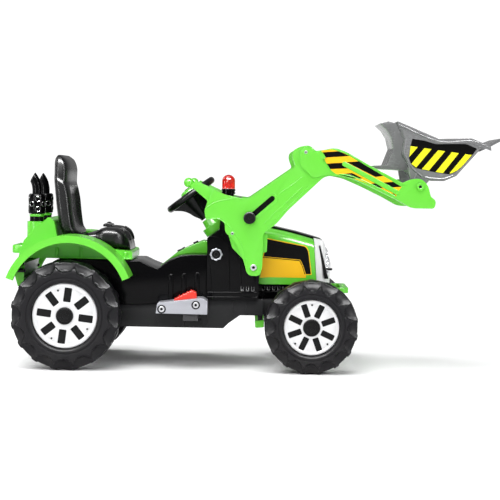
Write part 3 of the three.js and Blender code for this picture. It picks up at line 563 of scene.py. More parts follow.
def tyre(wheel, name, body, node):
    radius, width, disc = wheel["radius"], wheel["width"], wheel["disc"]
    web = width - 22
    profile = [[8.4, web - 18], [8.4, web + 8], [22, web + 8], [22, web], [disc + 2, web],
               [disc + 2, width - 7]]
    profile += [[disc + 3, width - 4], [disc + 6, width - 1.5], [disc + 10, width - 0.6],
                [disc + 13, width - 1.2],
                [disc + 14, width - 2.4], [disc + 15.5, width - 2.4], [disc + 16.5, width - 1.2],
                [disc + 20, width - 0.6]]
    carved_from = len(profile)
    start = disc + 22
    steps = 20
    for k in range(steps + 1):
        r = start + (radius - 5 - start) * k / steps
        profile.append([r, width - 0.4 - 6.5 * ease(0.1, 1, k / steps) ** 1.5])
    for k in range(1, 5):
        t = k / 4 * math.pi / 2
        profile.append([radius - 5 + 5 * math.sin(t), width - 12 + 5 * math.cos(t)])
    rows = 26
    for k in range(1, rows + 1):
        profile.append([radius, width - 11 - (width - 22) * k / rows])
    for k in range(1, 4):
        t = k / 4 * math.pi / 2
        profile.append([radius - 5 + 5 * math.cos(t), 11 - 5 * math.sin(t)])
    for k in range(8, -1, -1):
        profile.append([start + (radius - 5 - start) * k / 8, 0.4 + 5.5 * ease(0.3, 1, k / 8) ** 2])
    carved_to = len(profile)
    profile += [[disc + 8, 0], [disc + 8, 8], [radius - 26, 8], [radius - 10, 20], [radius - 10, width - 20],
                [radius - 26, width - 10], [disc + 10, web - 8], [24, web - 8], [24, web - 18],
                [8.4, web - 18]]

    def carve(j, angle, r, h):
        """Scalloped pockets on both shoulders, half a pitch apart, with fine teeth between them."""
        if not carved_from <= j < carved_to:
            return r, -h
        pitch = 2 * math.pi / LUGS
        side = math.copysign(1, h - width / 2)
        from_pocket = 2 * abs((angle / pitch + (0.5 if side > 0 else 0.0)) % 1.0 - 0.5)
        floor_depth = 10 - 6.5 * from_pocket ** 2
        if r > radius - 5.5:
            depth = width - h if side > 0 else h
            pocket = 1 - ease(0.58, 0.76, math.hypot(from_pocket, max(0.0, depth / width - 0.28) * 5))
            tooth = 1.3 if round(angle / pitch * STEPS_PER_LUG) % 2 and pocket < 0.3 else 0.0
            shoulder = min(1.0, max(0.0, 1 - (depth - 7) / 14))
            return r - 4 * pocket - tooth, -(h - side * floor_depth * shoulder)
        edge = radius - 31 + 17 * from_pocket ** 2.4
        return r, -(h - side * floor_depth * ease(edge - 1.7, edge + 1.7, r))

    place = (wheel["x"], -wheel["inner"], radius)
    shape = turned([tuple(p) for p in profile], place, LUGS * STEPS_PER_LUG, shaped=carve)
    slot_shade_black = FINISHES["control black"][0]
    shape.data.materials.append(FINISHES["tyre"][0])
    shape.data.materials.append(slot_shade_black)
    # Web faces seen through the disc slots get the darker control black: painted shade behind the slots.
    for face in shape.data.polygons:
        middle = face.center - Vector((wheel["x"], 0, radius))
        if math.hypot(middle.x, middle.z) < disc + 1.5 and face.center.y < -wheel["inner"] - web + 4:
            face.material_index = 1
    make(shape, name, body, "tyre", stands_for=(node,), pair=True, smooth=34)


def wheel_disc(wheel, name, body, node):
    disc, width = wheel["disc"], wheel["width"]
    back = width - 21.6
    rim = [[22.6, back], [disc, back], [disc, back + 4.5], [disc - 1.5, back + 6.6], [disc - 4, back + 7],
           [disc - 7, back + 6.2],
           [disc - 10, back + 4.6], [disc - 16, back + 3.9], [48 * disc / 90, back + 4.6],
           [34 * disc / 90, back + 6.0],
           [29 * disc / 90, back + 6.8], [22.6, back + 6.8], [22.6, back]]
    cover = turned([(r, -h) for r, h in rim], (0, 0, 0), 96)
    low, high = wheel["slots"]
    tools = []
    for i in range(8):
        slot = plate([[low, -wheel["slot"] / 2, 3], [high, -wheel["slot"] / 2, 3],
                      [high, wheel["slot"] / 2, 3], [low, wheel["slot"] / 2, 3]],
                     -width, -back + 4, steps=3)
        tools.append(moved(slot, Matrix.Rotation(-math.radians(wheel["turn"] + 45 * i), 4, "Y")))
    cut(cover, *tools)
    moved(cover, Matrix.Translation((wheel["x"], -wheel["inner"], wheel["radius"])))
    make(cover, name, body, "white", edge=0.8, steps=2, angle=40, stands_for=(node,), pair=True)
    for i in range(8):
        turn = math.radians(wheel["turn"] + 45 * i + 22.5)
        inner, outer = low + 6, high - 2
        panel = plate([[inner, -4, 2], [outer, -11, 3], [outer, 11, 3], [inner, 4, 2]], -back - 5.2,
                      -back - 3.6, steps=3)
        moved(panel, Matrix.Translation((wheel["x"], -wheel["inner"],
                                         wheel["radius"])) @ Matrix.Rotation(-turn, 4, "Y"))
        make(panel, f"{name}_panel_{i + 1}", body, "white", edge=0.5, steps=2, pair=True)
    reach, *angles = wheel["holes"]
    for i, angle in enumerate(angles):
        x, z = reach * math.cos(math.radians(angle)), reach * math.sin(math.radians(angle))
        screw = rod((x, -back - DISC_SCREW["proud"], z), (x, -back - DISC_SCREW["foot"], z),
                    DISC_SCREW["radius"], 20)
        moved(screw, Matrix.Translation((wheel["x"], -wheel["inner"], wheel["radius"])))
        make(screw, f"{name}_screw_{i + 1}", body, "control black", pair=True)


def hub_cap(wheel, name, body, node):
    foot = wheel["width"] - 13.6
    profile = [[0, foot], [24, foot], [24, foot + 3.5], [22.8, foot + 5.6], [20.5, foot + 6.4],
               [18.5, foot + 6.6], [17.8, foot + 5.4],
               [16.6, foot + 5.4], [16, foot + 6.8], [8, foot + 7.4], [7.4, foot + 6.6], [6.2, foot + 6.6],
               [5.6, foot + 7.6], [0, foot + 7.9]]
    cap = turned([(r, -h) for r, h in profile], (wheel["x"], -wheel["inner"], wheel["radius"]), 48)
    make(cap, name, body, "control black", stands_for=(node,), pair=True, smooth=30)
    for i in range(6):
        angle = math.radians(60 * i + 20)
        bump = turned([(0, -foot - 6.6), (1.3, -foot - 6.6), (1.0, -foot - 7.6), (0, -foot - 7.7)],
                      (wheel["x"] + 12 * math.cos(angle), -wheel["inner"],
                       wheel["radius"] + 12 * math.sin(angle)), 12)
        make(bump, f"{name}_dot_{i + 1}", body, "control black", pair=True)


for place_name, wheel in (("rear", REAR), ("front", FRONT)):
    body = f"wheel_{place_name}_*"
    tyre(wheel, f"tyre_{place_name}_moulding", body, f"tyre_{place_name}_*")
    wheel_disc(wheel, f"disc_{place_name}_moulding", body, f"wheel_disc_{place_name}_*")
    hub_cap(wheel, f"cap_{place_name}_moulding", body, f"hub_cap_{place_name}_*")

# ------------------------------------------------------------------ body shells
refined("hull", "chassis", "hull grey", 3.5, 3)
refined("deck", "chassis", "black", 8, 4)
refined("tower", "chassis", "black", 5, 4)
refined("rear_handle", "chassis", "green", 4, 3)
refined("bumper", "chassis", "green", 4, 3)
refined("console", "chassis", "green", 3, 3)
refined("column_cover", "chassis", "green", 2, 3)


def ridge(name, points, y, body, finish, radius=1.1, pair=True):
    """A fine moulded ridge along a side face."""
    make(swept([(x, -y, z) for x, z in points], radius, 10, 6), name, body, finish, pair=pair)


def capsule(start, end, half, steps=12):
    """The outline of a slot or rib with round ends."""
    (x0, z0), (x1, z1) = start, end
    lean = math.atan2(z1 - z0, x1 - x0)
    arc = [lean - math.pi / 2 + math.pi * k / steps for k in range(steps + 1)]
    return ([(x1 + half * math.cos(a), z1 + half * math.sin(a)) for a in arc]
            + [(x0 - half * math.cos(a), z0 - half * math.sin(a)) for a in arc])


def cowl():
    """The rear body: a cowl that carries the seat, with a fender and a stack base on each side."""
    back = [[-640, 352], [-652, 318], [-664, 250]]
    top = [[-333, 326, 8], [-478, 340], [-528, 353], [-546, 362, 6], [-556, 409, 5], [-572, 420, 6]]
    line = [[-333, 303], *top, [-588, 402, 6], [-606, 392, 6], *back, [-656, 222], [-640, 222], [-636, 303]]
    hollow = [[-333, 283], *[point[:2] for point in top], [-588, 402], [-606, 392], *back, [-656, 202],
              [-640, 202], [-636, 283]]
    shell = cut(plate(line, -COWL_SIDE, COWL_SIDE), drawn_out(inset(hollow, 4), 4 - COWL_SIDE, COWL_SIDE - 4))
    x, z, outer = REAR["x"] + 9, REAR["radius"] + 41, REAR["radius"] + 30

    def arch(inner, y0, y1):
        around = [math.radians(22 + 138 * k / 56) for k in range(57)]
        line = [(x + outer * math.cos(a), z + outer * math.sin(a)) for a in around]
        line += [(x + inner * math.cos(a), z + inner * math.sin(a)) for a in reversed(around)]
        return drawn_out(line, y0, y1)

    beside = drawn_out([(x, 0), (x + outer, 0), (x + outer, 300.4), (x, 300.4)], -DECK_SIDE - 0.4, 0)
    wing = join(arch(outer - 5, -FENDER_SIDE, 1 - COWL_SIDE),
                arch(outer - 20, -FENDER_SIDE, 14 - FENDER_SIDE))
    cut(wing, beside)
    other = mirror(wing)
    bases = [rod((-612, y, 340), (-612, y, 405), 27, 40) for y in (-85, 85)]
    return join(shell, wing, other, *bases)


make(cowl(), "cowl_and_fenders", "chassis", "green", edge=4, steps=5, angle=40, stands_for=("rear_body",))
for number, x in enumerate((-545, -478, -412, -352)):
    rib = plate([[x - 4, 306], [x + 4, 306], [x + 4, 334 if x < -400 else 324],
                 [x - 4, 334 if x < -400 else 324]], -148, -141)
    make(rib, f"cowl_rib_{number + 1}", "chassis", "green", edge=1.5, pair=True)
make(plate([[-556, 303.6, 2], [-556, 308, 2], [-336, 308, 2], [-336, 303.6, 2]], -150, -141),
     "cowl_foot_flange", "chassis", "green", edge=1, pair=True)
make(plate([[-660, 276, 3], [-661, 298, 3], [-640, 302, 3], [-636, 284, 3]], -158, -141), "rear_latch",
     "chassis", "control black", edge=2, pair=True)
make(plate([[-657, 262, 3], [-657, 274, 3], [-634, 270, 3], [-634, 262, 3]], -153, -141), "rear_latch_foot",
     "chassis", "control black", edge=2, pair=True)

# deck side: moulded ribs and the ledge round the foot of the tower
for number, x in enumerate((-222, -185, -148)):
    make(drawn_out(capsule((x, 198), (x, 258 + 3 * number), 7), -149.5, -144), f"deck_rib_{number + 1}",
         "chassis", "black", edge=2.6, steps=4, pair=True)
make(plate([[-119, 212], [-119, 216.5], [24, 218.5], [24, 214]], -153, -149), "tower_ledge", "chassis",
     "black", edge=1.4, pair=True)
make(plate([[-119, 199.5], [-119, 203], [24, 205], [24, 201.5]], -152, -149), "tower_foot", "chassis",
     "black", edge=1.2, pair=True)
make(plate([[26, 214], [26, 217], [216, 219], [216, 216]], -101, -97), "nose_ledge", "chassis", "black",
     edge=1.2, pair=True)
for number in range(9):
    x = -20 + 15 * number
    side = TOWER_SIDE if x < 18 else NOSE_SIDE + 3
    if 12 < x < 32:
        continue
    frame_line = plate([[x - 4.5, 220, 2], [x - 4.5, 233, 2], [x + 4.5, 233, 2], [x + 4.5, 220, 2]],
                       -side - 2, 1 - side)
    cut(frame_line, plate([[x - 2.5, 222], [x - 2.5, 240], [x + 2.5, 240], [x + 2.5, 222]], -side - 5,
                          5 - side))
    # The louvre frames take the lightened black: painted highlight round each louvre.
    make(frame_line, f"louvre_{number + 1}", "chassis", "black with painted highlight", edge=0.6, steps=2, pair=True)
ridge("tower_crease", [(-117, 372), (-98, 372), (-72, 362), (-60, 344), (-58, 300), (-56, 222)], TOWER_SIDE,
      "chassis", "black", 1.4)
ridge("tower_crease_rear", [(-112, 290), (-108, 250), (-108, 222)], TOWER_SIDE, "chassis", "black", 1.2)
ridge("tower_crease_front", [(-20, 420), (-24, 380), (-26, 300), (-22, 240)], TOWER_SIDE, "chassis",
      "black", 1.2)

# hull side: sunk panel lines and the tow bracket
for number, (x, foot) in enumerate(((-262, 113), (-186, 113), (-118, 113), (-45, 150), (-8, 150))):
    make(plate([[x - 1.2, foot + 3], [x - 1.2, 172 if x < -117 else 190],
                [x + 1.2, 172 if x < -117 else 190], [x + 1.2, foot + 3]], -HULL_SIDE - 1, -HULL_SIDE + 1),
         f"hull_rib_{number + 1}", "chassis", "hull grey", edge=0.7, steps=2, pair=True)
make(plate([[-182, 112.6, 3], [-182, 137], [-134, 137], [-134, 112.6, 3]], -HULL_SIDE - 4, -HULL_SIDE + 1),
     "hull_pad", "chassis", "hull grey", edge=2, pair=True)
make(plate([[27, 128], [25, 151], [40, 151], [38, 128]], -106, -84), "bracket_post", "chassis",
     "control black", edge=2, pair=True)
make(plate([[19, 112, 4], [17, 133, 4], [44, 135, 4], [44, 114, 4]], -110, -80), "bracket_foot", "chassis",
     "green", edge=2.5, pair=True)


# ------------------------------------------------------------------ hood, nose and lamps
def hood():
    line = [(26.4, 406), (45, 403.4), (68, 399), (92, 394.6), (114, 389.8), (133, 385), (158, 378.6),
            (181, 372)]
    lean = 10 / (372 - 238.5)
    rings = []
    for x, top in line:
        section = [(120, 238.5), (120, 262), (120, top - 46)]
        for k in range(11):
            turn = math.pi / 2 * k / 10
            section.append((120 - 62 * (1 - math.cos(turn) ** 0.55), top - 40 + 36 * math.sin(turn) ** 0.8))
        section += [(40, top - 1), (0, top)]
        both = section + [(-y, z) for y, z in reversed(section[:-1])]
        slope = lean if x > 180 else 0
        rings.append([(x + slope * (top - z), y, z) for y, z in both])
    return lofted(rings)


make(hood(), "hood_skin", "chassis", "green", edge=2, steps=3, angle=50, stands_for=("hood",), smooth=30)
strip_top = [(28, 408.2), (68, 401.4), (133, 387.6), (181, 375), (206, 367.4), (213, 356)]
strip = drawn_out(strip_top + [(x - 2, z - 9) for x, z in reversed(strip_top)], -58, 58)
make(strip, "hood_stripe", "chassis", "black", edge=2.5, steps=4)
refined("grille_surround", "chassis", "white", 2.0, 3)
refined("headlamp", "chassis", "lamp", 1.2, 3, pair=True)
for number in range(5):
    z = 276 + 11 * number
    make(plate([[205 - 0.1 * number, z - 3, 2], [225.5, z - 3, 2], [225.5, z + 3, 2], [205, z + 3, 2]],
               -101, -69), f"lamp_rib_{number + 1}", "chassis", "lamp", edge=1, pair=True)
make(plate([[195.8, 351], [199.4, 351], [225.2, 257], [213.8, 257]], -116.5, -107), "nose_slot_insert",
     "chassis", "control black", edge=0.6, pair=True)
make(plate([[221, 281, 2], [221, 287, 2], [236, 287, 2], [236, 281, 2]], -108, -88), "lamp_clip", "chassis",
     "control black", edge=1.2, pair=True)
grille = drawn_out([(216, 257), (219.5, 257), (219.5, 339), (216, 339)], -53.5, 53.5)
make(grille, "grille_back", "chassis", "control black")
for number in range(7):
    z = 264 + 11.5 * number
    make(plate([[219, z - 2.4], [226, z - 2.4], [226, z + 2.4], [219, z + 2.4]], -53.6, 53.6),
         f"grille_bar_{number + 1}", "chassis", "white", edge=1.2)

# ------------------------------------------------------------------ printed stickers


def sheet_of(points, face, body, name, ink, level=1, steps=4):
    """A printed sheet on a side face. Each level lies a fifth of a millimetre further out."""
    make(plate(points, -face - 0.15 - 0.15 * level, -face + 0.4, steps=steps), name, body, ink, pair=True)


hood_print = [[44, 371, 3], [160, 350, 10], [168, 335, 4], [177, 268, 2], [30, 257]]
sheet_of(hood_print, HOOD_SIDE, "chassis", "hood_print_edge", "ink amber")
sheet_of([[46, 368, 3], [159, 347.4, 9], [165.6, 334, 4], [174.4, 270.4], [32, 259.6]], HOOD_SIDE,
         "chassis", "hood_print", "ink black", 2)
sheet_of([[32, 318.6], [143.5, 310.4, 2], [152, 294], [160.5, 269], [160.5, 259], [32, 259]], HOOD_SIDE,
         "chassis", "hood_print_line", "ink amber", 3)
sheet_of([[32, 317], [142.6, 308.8, 2], [150.6, 293], [158.6, 269], [32, 259]], HOOD_SIDE, "chassis",
         "hood_print_gap", "ink black", 4)
sheet_of([[32, 315], [141.5, 306.6, 2], [149, 292], [156.8, 267.4], [32, 258.4]], HOOD_SIDE, "chassis",
         "hood_print_panel", "ink amber", 5)

arm_print = [[192, 619], [220, 623, 6], [243, 619], [271, 605.6], [294, 592], [363, 553.5], [417, 523],
             [406, 509], [402, 496],
             [386, 503], [335, 526], [261, 551.6], [234, 555.3, 6], [221, 565], [206, 587]]
sheet_of(arm_print, ARM_OUTER, "boom", "arm_print", "ink amber")
arm_bands = {
    "elbow_top": [[197, 614.5], [241, 618.5], [271, 605.6], [203, 600]],
    "elbow_middle": [[208, 583.5], [254, 587], [274.5, 571.7], [218.5, 568.7]],
    "elbow_low": [[240, 554], [278, 559], [309, 544.5], [286, 543.6]],
    "long": [[262.5, 588.5], [296.8, 591.5], [365.6, 552.5], [344.4, 548.9]],
    "end": [[367.3, 534.3], [393, 536.6], [416.5, 523.3], [387.4, 520.8]],
    "low_one": [[328, 529.5], [345, 532], [366, 518], [346, 519.8]],
    "low_two": [[386.5, 502.6], [396.2, 504.2], [402, 496.1]],
}
for label, points in arm_bands.items():
    sheet_of(points, ARM_OUTER, "boom", "arm_print_" + label, "ink black", 2)
make(drawn_out(capsule((257, 583.5), (404, 507.5), 6.6), -223.6, -219), "arm_rib", "boom", "green", edge=2,
     steps=4, pair=True)
make(swept([(x, -220, z) for x, z in ((244, 555.5), (282, 549), (331, 529), (398, 498.5))], 1.7, 12),
     "arm_lower_bead", "boom",
     "green", pair=True)
make(drawn_out(capsule((232, 622.5), (268, 610.5), 1.4), -222, -219), "arm_upper_bead_rear", "boom",
     "green", edge=0.8, pair=True)
make(drawn_out(capsule((268, 610.5), (424, 528), 1.4), -222, -219), "arm_upper_bead", "boom", "green",
     edge=0.8, pair=True)

bucket_print = [[449, 658.2], [483, 653.1], [515.4, 644, 6], [600, 646.5, 10], [630.7, 633.3], [616, 613],
                [579.3, 571, 14],
                [556, 560, 6], [516.8, 565], [459, 576, 4], [446.4, 587.3], [440.6, 603.5], [443, 636]]
BUCKET_SIDE = 172
sheet_of(bucket_print, BUCKET_SIDE, "bucket", "bucket_print", "ink black")
for number, points in enumerate((
    [[444.2, 637.8], [464.3, 635.2], [441.4, 607]],
    [[483.1, 632.5], [503.1, 630], [461.1, 577.8], [447.4, 588]],
    [[522, 627.6], [541.3, 625.1], [497.2, 570.2], [477.2, 573.6]],
    [[560.4, 622.7], [579.7, 620.2], [536.4, 563.7], [516.3, 566.6]],
    [[598.5, 617.9], [616.1, 615.6], [594, 588.5], [577, 572], [559.5, 563], [554.4, 562.6]],
)):
    sheet_of(points, BUCKET_SIDE, "bucket", f"bucket_print_band_{number + 1}", "ink yellow", 2)


# ------------------------------------------------------------------ seat
def between(knots, at):
    """A smooth value through [place, value] knots, without overshoot."""
    if at <= knots[0][0]:
        return knots[0][1]
    slopes = [(vb - va) / (b - a) for (a, va), (b, vb) in zip(knots, knots[1:])]
    for i, ((a, va), (b, vb)) in enumerate(zip(knots, knots[1:])):
        if at > b:
            continue
        t, rise = (at - a) / (b - a), slopes[i]
        ends = []
        for other in (slopes[max(i - 1, 0)], slopes[min(i + 1, len(slopes) - 1)]):
            ends.append(2 * other * rise / (other + rise) * (b - a) if other * rise > 0 else 0)
        return ((2 * t ** 3 - 3 * t * t + 1) * va + (t ** 3 - 2 * t * t + t) * ends[0]
                + (3 * t * t - 2 * t ** 3) * vb + (t ** 3 - t * t) * ends[1])
    return knots[-1][1]


def seat_back():
    """Moulded back: a full head end over side bolsters, with a ribbed middle."""
    rear = [[366, -538], [392, -547], [429, -554], [472, -559], [535, -564], [570, -564], [584, -562],
            [596, -557]]
    front = [[366, -485], [377, -486], [392, -494], [429, -500], [472, -505], [500, -511], [520, -516],
             [552, -515],
             [570, -518], [584, -525], [596, -538]]
    sunk = [[380, 0], [396, 13], [440, 18], [480, 17], [502, 10], [509, 0]]
    half = [[366, 124], [392, 133], [440, 135.5], [535, 134.5], [566, 132], [584, 126], [596, 116]]
    shoulder = 582
    heights = [366, 367, 370, 375] + [380 + 3 * k for k in range(68)]
    closing = [(1 - 0.05 * (1 - ease(366, 375, z))) for z in heights]
    for k in range(1, 9):
        turn = k / 8.4 * math.pi / 2
        heights.append(shoulder + 14 * math.sin(turn))
        closing.append(math.cos(turn) ** 0.62)
    rings = []
    count = 144
    for z, close in zip(heights, closing):
        x0, x1, w = between(rear, z), between(front, z), between(half, z)
        mid, depth = (x0 + x1) / 2, (x1 - x0) / 2 * (0.4 + 0.6 * close if z > shoulder else close)
        ring = []
        for i in range(count):
            turn = 2 * math.pi * i / count
            c, s = math.cos(turn), math.sin(turn)
            y = w * (0.80 + 0.20 * close if z > shoulder else close) * math.copysign(abs(s) ** 0.56, s)
            x = mid + depth * math.copysign(abs(c) ** (0.66 if c > 0 else 0.5), c)
            if c > 0:
                facing = min(1.0, c * 2.2)
                inside = 1 - ease(86, 108, abs(y))
                x -= between(sunk, z) * inside * facing
                ribbed = ease(386, 404, z) * (1 - ease(484, 500, z)) * (1 - ease(84, 94, abs(y)))
                x -= 6 * ribbed * (0.5 - 0.5 * math.cos(2 * math.pi * y / 29)) * facing
            head = ease(-4, 4, z - (536 - 0.6 * (x + 563)))
            ring.append((x, y * (1 - 0.03 * head), z))
        rings.append(ring)
    return lofted(rings)


def seat_base():
    """Moulded cushion: rolled front, raised side bolsters and a ribbed middle."""
    top = [[-477, 368], [-462, 377], [-440, 382], [-425, 391], [-405, 396], [-380, 394], [-364, 386],
           [-352, 371], [-345, 352],
           [-341.5, 330]]
    rows = 60
    rings = []
    for k in range(rows + 1):
        x = -477 + (477 - 341.5) * k / rows
        bottom = 326.6 + (-333 - x) * 14 / 145
        high = between(top, x)
        w = 126 + 6 * ease(-440, -415, x) * (1 - ease(-386, -366, x)) - 30 * ease(-378, -341, x) ** 1.7
        ring = []
        for i in range(96):
            turn = 2 * math.pi * i / 96
            c, s = math.cos(turn), math.sin(turn)
            y = w * math.copysign(abs(c) ** 0.5, c)
            z = (bottom + high) / 2 + (high - bottom) / 2 * math.copysign(abs(s) ** 0.5, s)
            if s > 0:
                dish = (1 - ease(60, 100, abs(y))) * ease(-477, -440, x) * (1 - ease(-390, -350, x))
                z -= 8 * dish * s
                flute = 0.5 - 0.5 * math.cos(2 * math.pi * y / 24)
                z -= 3.5 * (1 - ease(56, 66, abs(y))) * flute * ease(-440, -425, x)
            ring.append((x, y, z))
        rings.append(ring)
    return lofted(rings)


make(seat_back(), "seat_back_shell", "chassis", "seat", stands_for=("seat_back",), smooth=60)
make(seat_base(), "seat_base_shell", "chassis", "seat", edge=3, steps=3, angle=60,
     stands_for=("seat_base",), smooth=60)
for number in range(4):
    y = 97 - 13 * number
    line = [(-374 + 2 * number, -y, 389.5), (-361 + 2 * number, -y, 381), (-352.5 + 2 * number, -y, 366),
            (-350 + 2 * number, -y, 354)]
    make(swept(line, 2.1, 10), f"cushion_slot_{number + 1}", "chassis", "control black", pair=True)
make(plate([[-428, 392, 3], [-426, 400, 4], [-412, 402, 4], [-400, 399, 3], [-400, 390, 3]], -34, 34),
     "belt_buckle_pad", "chassis", "seat", edge=3, steps=4)
make(plate([[-420, 396, 2], [-417, 405, 3], [-408, 405, 3], [-404, 396, 2]], -14, 14), "belt_buckle",
     "chassis", "control black", edge=2, steps=3)


# ------------------------------------------------------------------ exhaust stacks
def stack_pipe():
    bend = [(-612, -85, 405.5), (-612, -85, 440), (-612, -85, 484), (-613, -85, 502), (-618, -85, 520),
            (-630, -85, 538), (-646, -85, 553)]
    slice_line = [[-640, 502], [-614, 552], [-680, 590], [-690, 502]]
    pipe = cut(swept(bend, 13.5, 36, 6), plate(slice_line, -150, 0))
    inner = [(-612.5, -85, 496), (-615, -85, 510), (-622, -85, 526), (-634, -85, 541), (-650, -85, 557)]
    return cut(pipe, swept(inner, 11.2, 28, 6))


make(stack_pipe(), "stack_pipe_bent", "chassis", "black", edge=0.7, steps=2, angle=45,
     stands_for=("stack_pipe_*",), pair=True)
ring_profile = [(13.6, 419), (20.6, 419), (21, 420.5), (21, 424.5), (20.2, 426), (13.6, 426), (13.6, 419)]
make(turned(ring_profile, (-612, -85, 0), 48, "Z"), "stack_green_ring", "chassis", "green", pair=True,
     smooth=30)
collar = [(13.6, 405.4), (19.4, 405.4), (20, 406.4), (20, 418), (19, 418.8), (13.6, 418.8), (13.6, 405.4)]
make(turned(collar, (-612, -85, 0), 48, "Z"), "stack_collar", "chassis", "black", pair=True, smooth=30)


SHIELD_HOLES = [(2 * math.pi * (k + 0.3) / 8 - math.pi / 2,
                 z) for k in range(8) for z in ((440, 469), (454.5,))[k % 2]]


def shield():
    profile = [(14, 427), (23, 427), (24, 428), (24, 478), (23.4, 480.6), (20.6, 483.6), (19.6, 484),
               (14, 484), (14, 427)]
    body = turned(profile, (0, 0, 0), 72, "Z")
    for angle, z in SHIELD_HOLES:
        out = Vector((math.cos(angle), math.sin(angle), 0))
        up = Vector((0, 0, z))
        cut(body, rod(out * 19 + up, out * 30 + up, 6.4, 24))
    return moved(body, Matrix.Translation((-612, -85, 0)))


def shield_rim(angle, z):
    """A ring round one hole, bent to the shield: a painted highlight on the hole's edge."""
    points = []
    for k in range(17):
        turn = 2 * math.pi * k / 16
        round_shield = angle + math.asin(7.0 * math.cos(turn) / 24)
        points.append((-612 + 23.9 * math.cos(round_shield), -85 + 23.9 * math.sin(round_shield),
                       z + 7.0 * math.sin(turn)))
    return swept(points, 1.0, 8, 3)


make(shield(), "stack_shield_drilled", "chassis", "black", edge=0.5, steps=2, angle=40,
     stands_for=("stack_shield_*",), pair=True)
# These rings are painted highlight: lightened black rings laid round the edges of the holes.
rims = [shield_rim(*hole) for hole in SHIELD_HOLES]
make(rims[0], "stack_shield_rims", "chassis", "black with painted highlight", pair=True, details=rims[1:])

# ------------------------------------------------------------------ controls


def on_column(shape):
    return moved(shape, ON_COLUMN)


def ring_bar(radius, tube, flat, segments=96):
    """The wheel's rim: an oval section, with shallow grip waves on the inside."""
    profile = []
    for k in range(21):
        turn = 2 * math.pi * (k % 20) / 20
        profile.append((round(radius + tube * math.cos(turn), 5), round(flat * math.sin(turn), 5)))

    def grip(j, angle, r, h):
        wave = 0.9 * math.cos(angle * 30)
        return (r + wave if r < radius - 2 else r), h

    return turned(profile, (0, 0, 0), segments, "Z", grip)


rim = on_column(ring_bar(74, 8.4, 9.6, 240))
make(rim, "wheel_rim", "steering", "control black", stands_for=("steering_wheel",), smooth=50)
hub = turned([(0, 7), (29, 7), (31.4, 5), (32, 1), (29.5, -14), (26, -38), (22, -60), (19, -80), (0, -80)],
             (0, 0, 0), 56, "Z")
make(on_column(hub), "wheel_hub", "steering", "control black", smooth=40)
for number in range(3):
    web = [[16, 3], [64, 2, 4], [72, -6, 4], [62, -14, 8], [48, -24, 10], [37, -38, 10], [29, -58, 8],
           [16, -78]]
    spoke = moved(plate(web, -13, 13), Matrix.Rotation(math.radians(60 + 120 * number), 4, "Z"))
    make(on_column(spoke), f"wheel_spoke_{number + 1}", "steering", "control black", edge=3.5, steps=4)
pad = turned([(0, 7.4), (26, 7.4), (26.4, 9), (25.6, 13.4), (23, 16.6), (17, 18.8), (8, 19.8), (0, 20)],
             (0, 0, 0), 56, "Z")
make(on_column(pad), "wheel_pad_dome", "steering", "green", stands_for=("wheel_pad",), smooth=40)
button = turned([(0, 19), (8, 19), (8, 20.6), (7.2, 21.4), (0, 21.6)], (0, 0, 0), 32, "Z")
make(on_column(button), "horn_button", "steering", "control black", smooth=30)

refined("rocker_switch", "rocker", "control black", 1, 2)
refined("start_button", "button", "control black", 1.2, 3)


def side_knob():
    count = 96
    line = []
    for i in range(count):
        turn = 2 * math.pi * i / count
        radius = 17.2 + 1.0 * math.cos(8 * turn)
        line.append((-95 + radius * math.cos(turn), 323 + radius * math.sin(turn)))
    body = drawn_out(line, -164.4, -150.4)
    cut(body, turned([(0, -9), (12, -9), (13, -16), (0, -16)], (-95, -150.4, 323), 48))
    return body


make(side_knob(), "side_knob_scalloped", "chassis", "silver", edge=1.2, steps=3, angle=50,
     stands_for=("side_knob_*",), pair=True)
well = turned([(0, -9.2), (11.9, -9.2), (11.9, -11), (9.5, -11.4), (8.2, -13), (5.6, -13), (5.2, -10.4),
               (0, -10.4)], (-95, -150.4, 323), 40)
make(well, "side_knob_well", "chassis", "control black", pair=True, smooth=30)

base = turned([(0, 485.4), (16, 485.4), (16, 491), (20, 493.5), (20, 497.5), (18.4, 498.4), (18.4, 500.4),
               (20, 501.4), (20, 506), (19, 507.4), (0, 507.4)],
              (-66, 0, 0), 48, "Z")
make(base, "beacon_foot", "chassis", "black", stands_for=("beacon_base",), smooth=30)


def fluted(j, angle, r, h):
    return (r - 0.55 * (0.5 + 0.5 * math.cos(angle * 24)) if 509 < h < 531 and r > 17 else r), h


dome = [(0, 507.8), (19, 507.8), (19, 510)] + [(19, 512 + 3.6 * k) for k in range(6)]
dome += [(19 * math.cos(math.radians(9 * k)),
          530 + 18.6 * math.sin(math.radians(9 * k))) for k in range(1, 10)] + [(0, 548.6)]
make(turned(dome, (-66, 0, 0), 192, "Z", fluted), "beacon_lens", "chassis", "beacon",
     stands_for=("beacon_dome",), smooth=60)

# steps and pedal
for side, sign in (("right", -1), ("left", 1)):
    shelf = plate([[-190, 130], [-190, 157.8], [-136, 157.8], [-136, 130]], *sorted((sign * 140, sign * 214)))
    node = "step_plate_" + side
    make(cut(of_node(node), shelf), f"step_{side}_bevelled", "chassis", "silver", edge=3, stands_for=(node,))
make(plate([[-184, 138, 3], [-184, 157.6], [-142, 157.6], [-142, 138, 3]], -209, -151), "step_foot",
     "chassis", "pad grey",
     edge=2, pair=True)
for label, x, z in (("rear", -243, 171), ("front", -148, 184)):
    well = turned([(0, 0), (12, 0), (12, -1), (11, -1.8), (0, -1.8)], (x, -223, z), 36)
    make(well, f"step_bolt_well_{label}", "chassis", "control black", pair=True)
    socket_bolt(f"step_bolt_{label}", x, z, -224.7, "chassis", 8.4, 2.6)
refined("pedal", "pedal", "red", 2, 3)
for number in range(4):
    x = -196 + 11 * number
    z = 205.6 + 5.4 * number
    tread = rod((x, -200, z), (x, -164, z), 1.8, 12)
    make(tread, f"pedal_tread_{number + 1}", "pedal", "red")

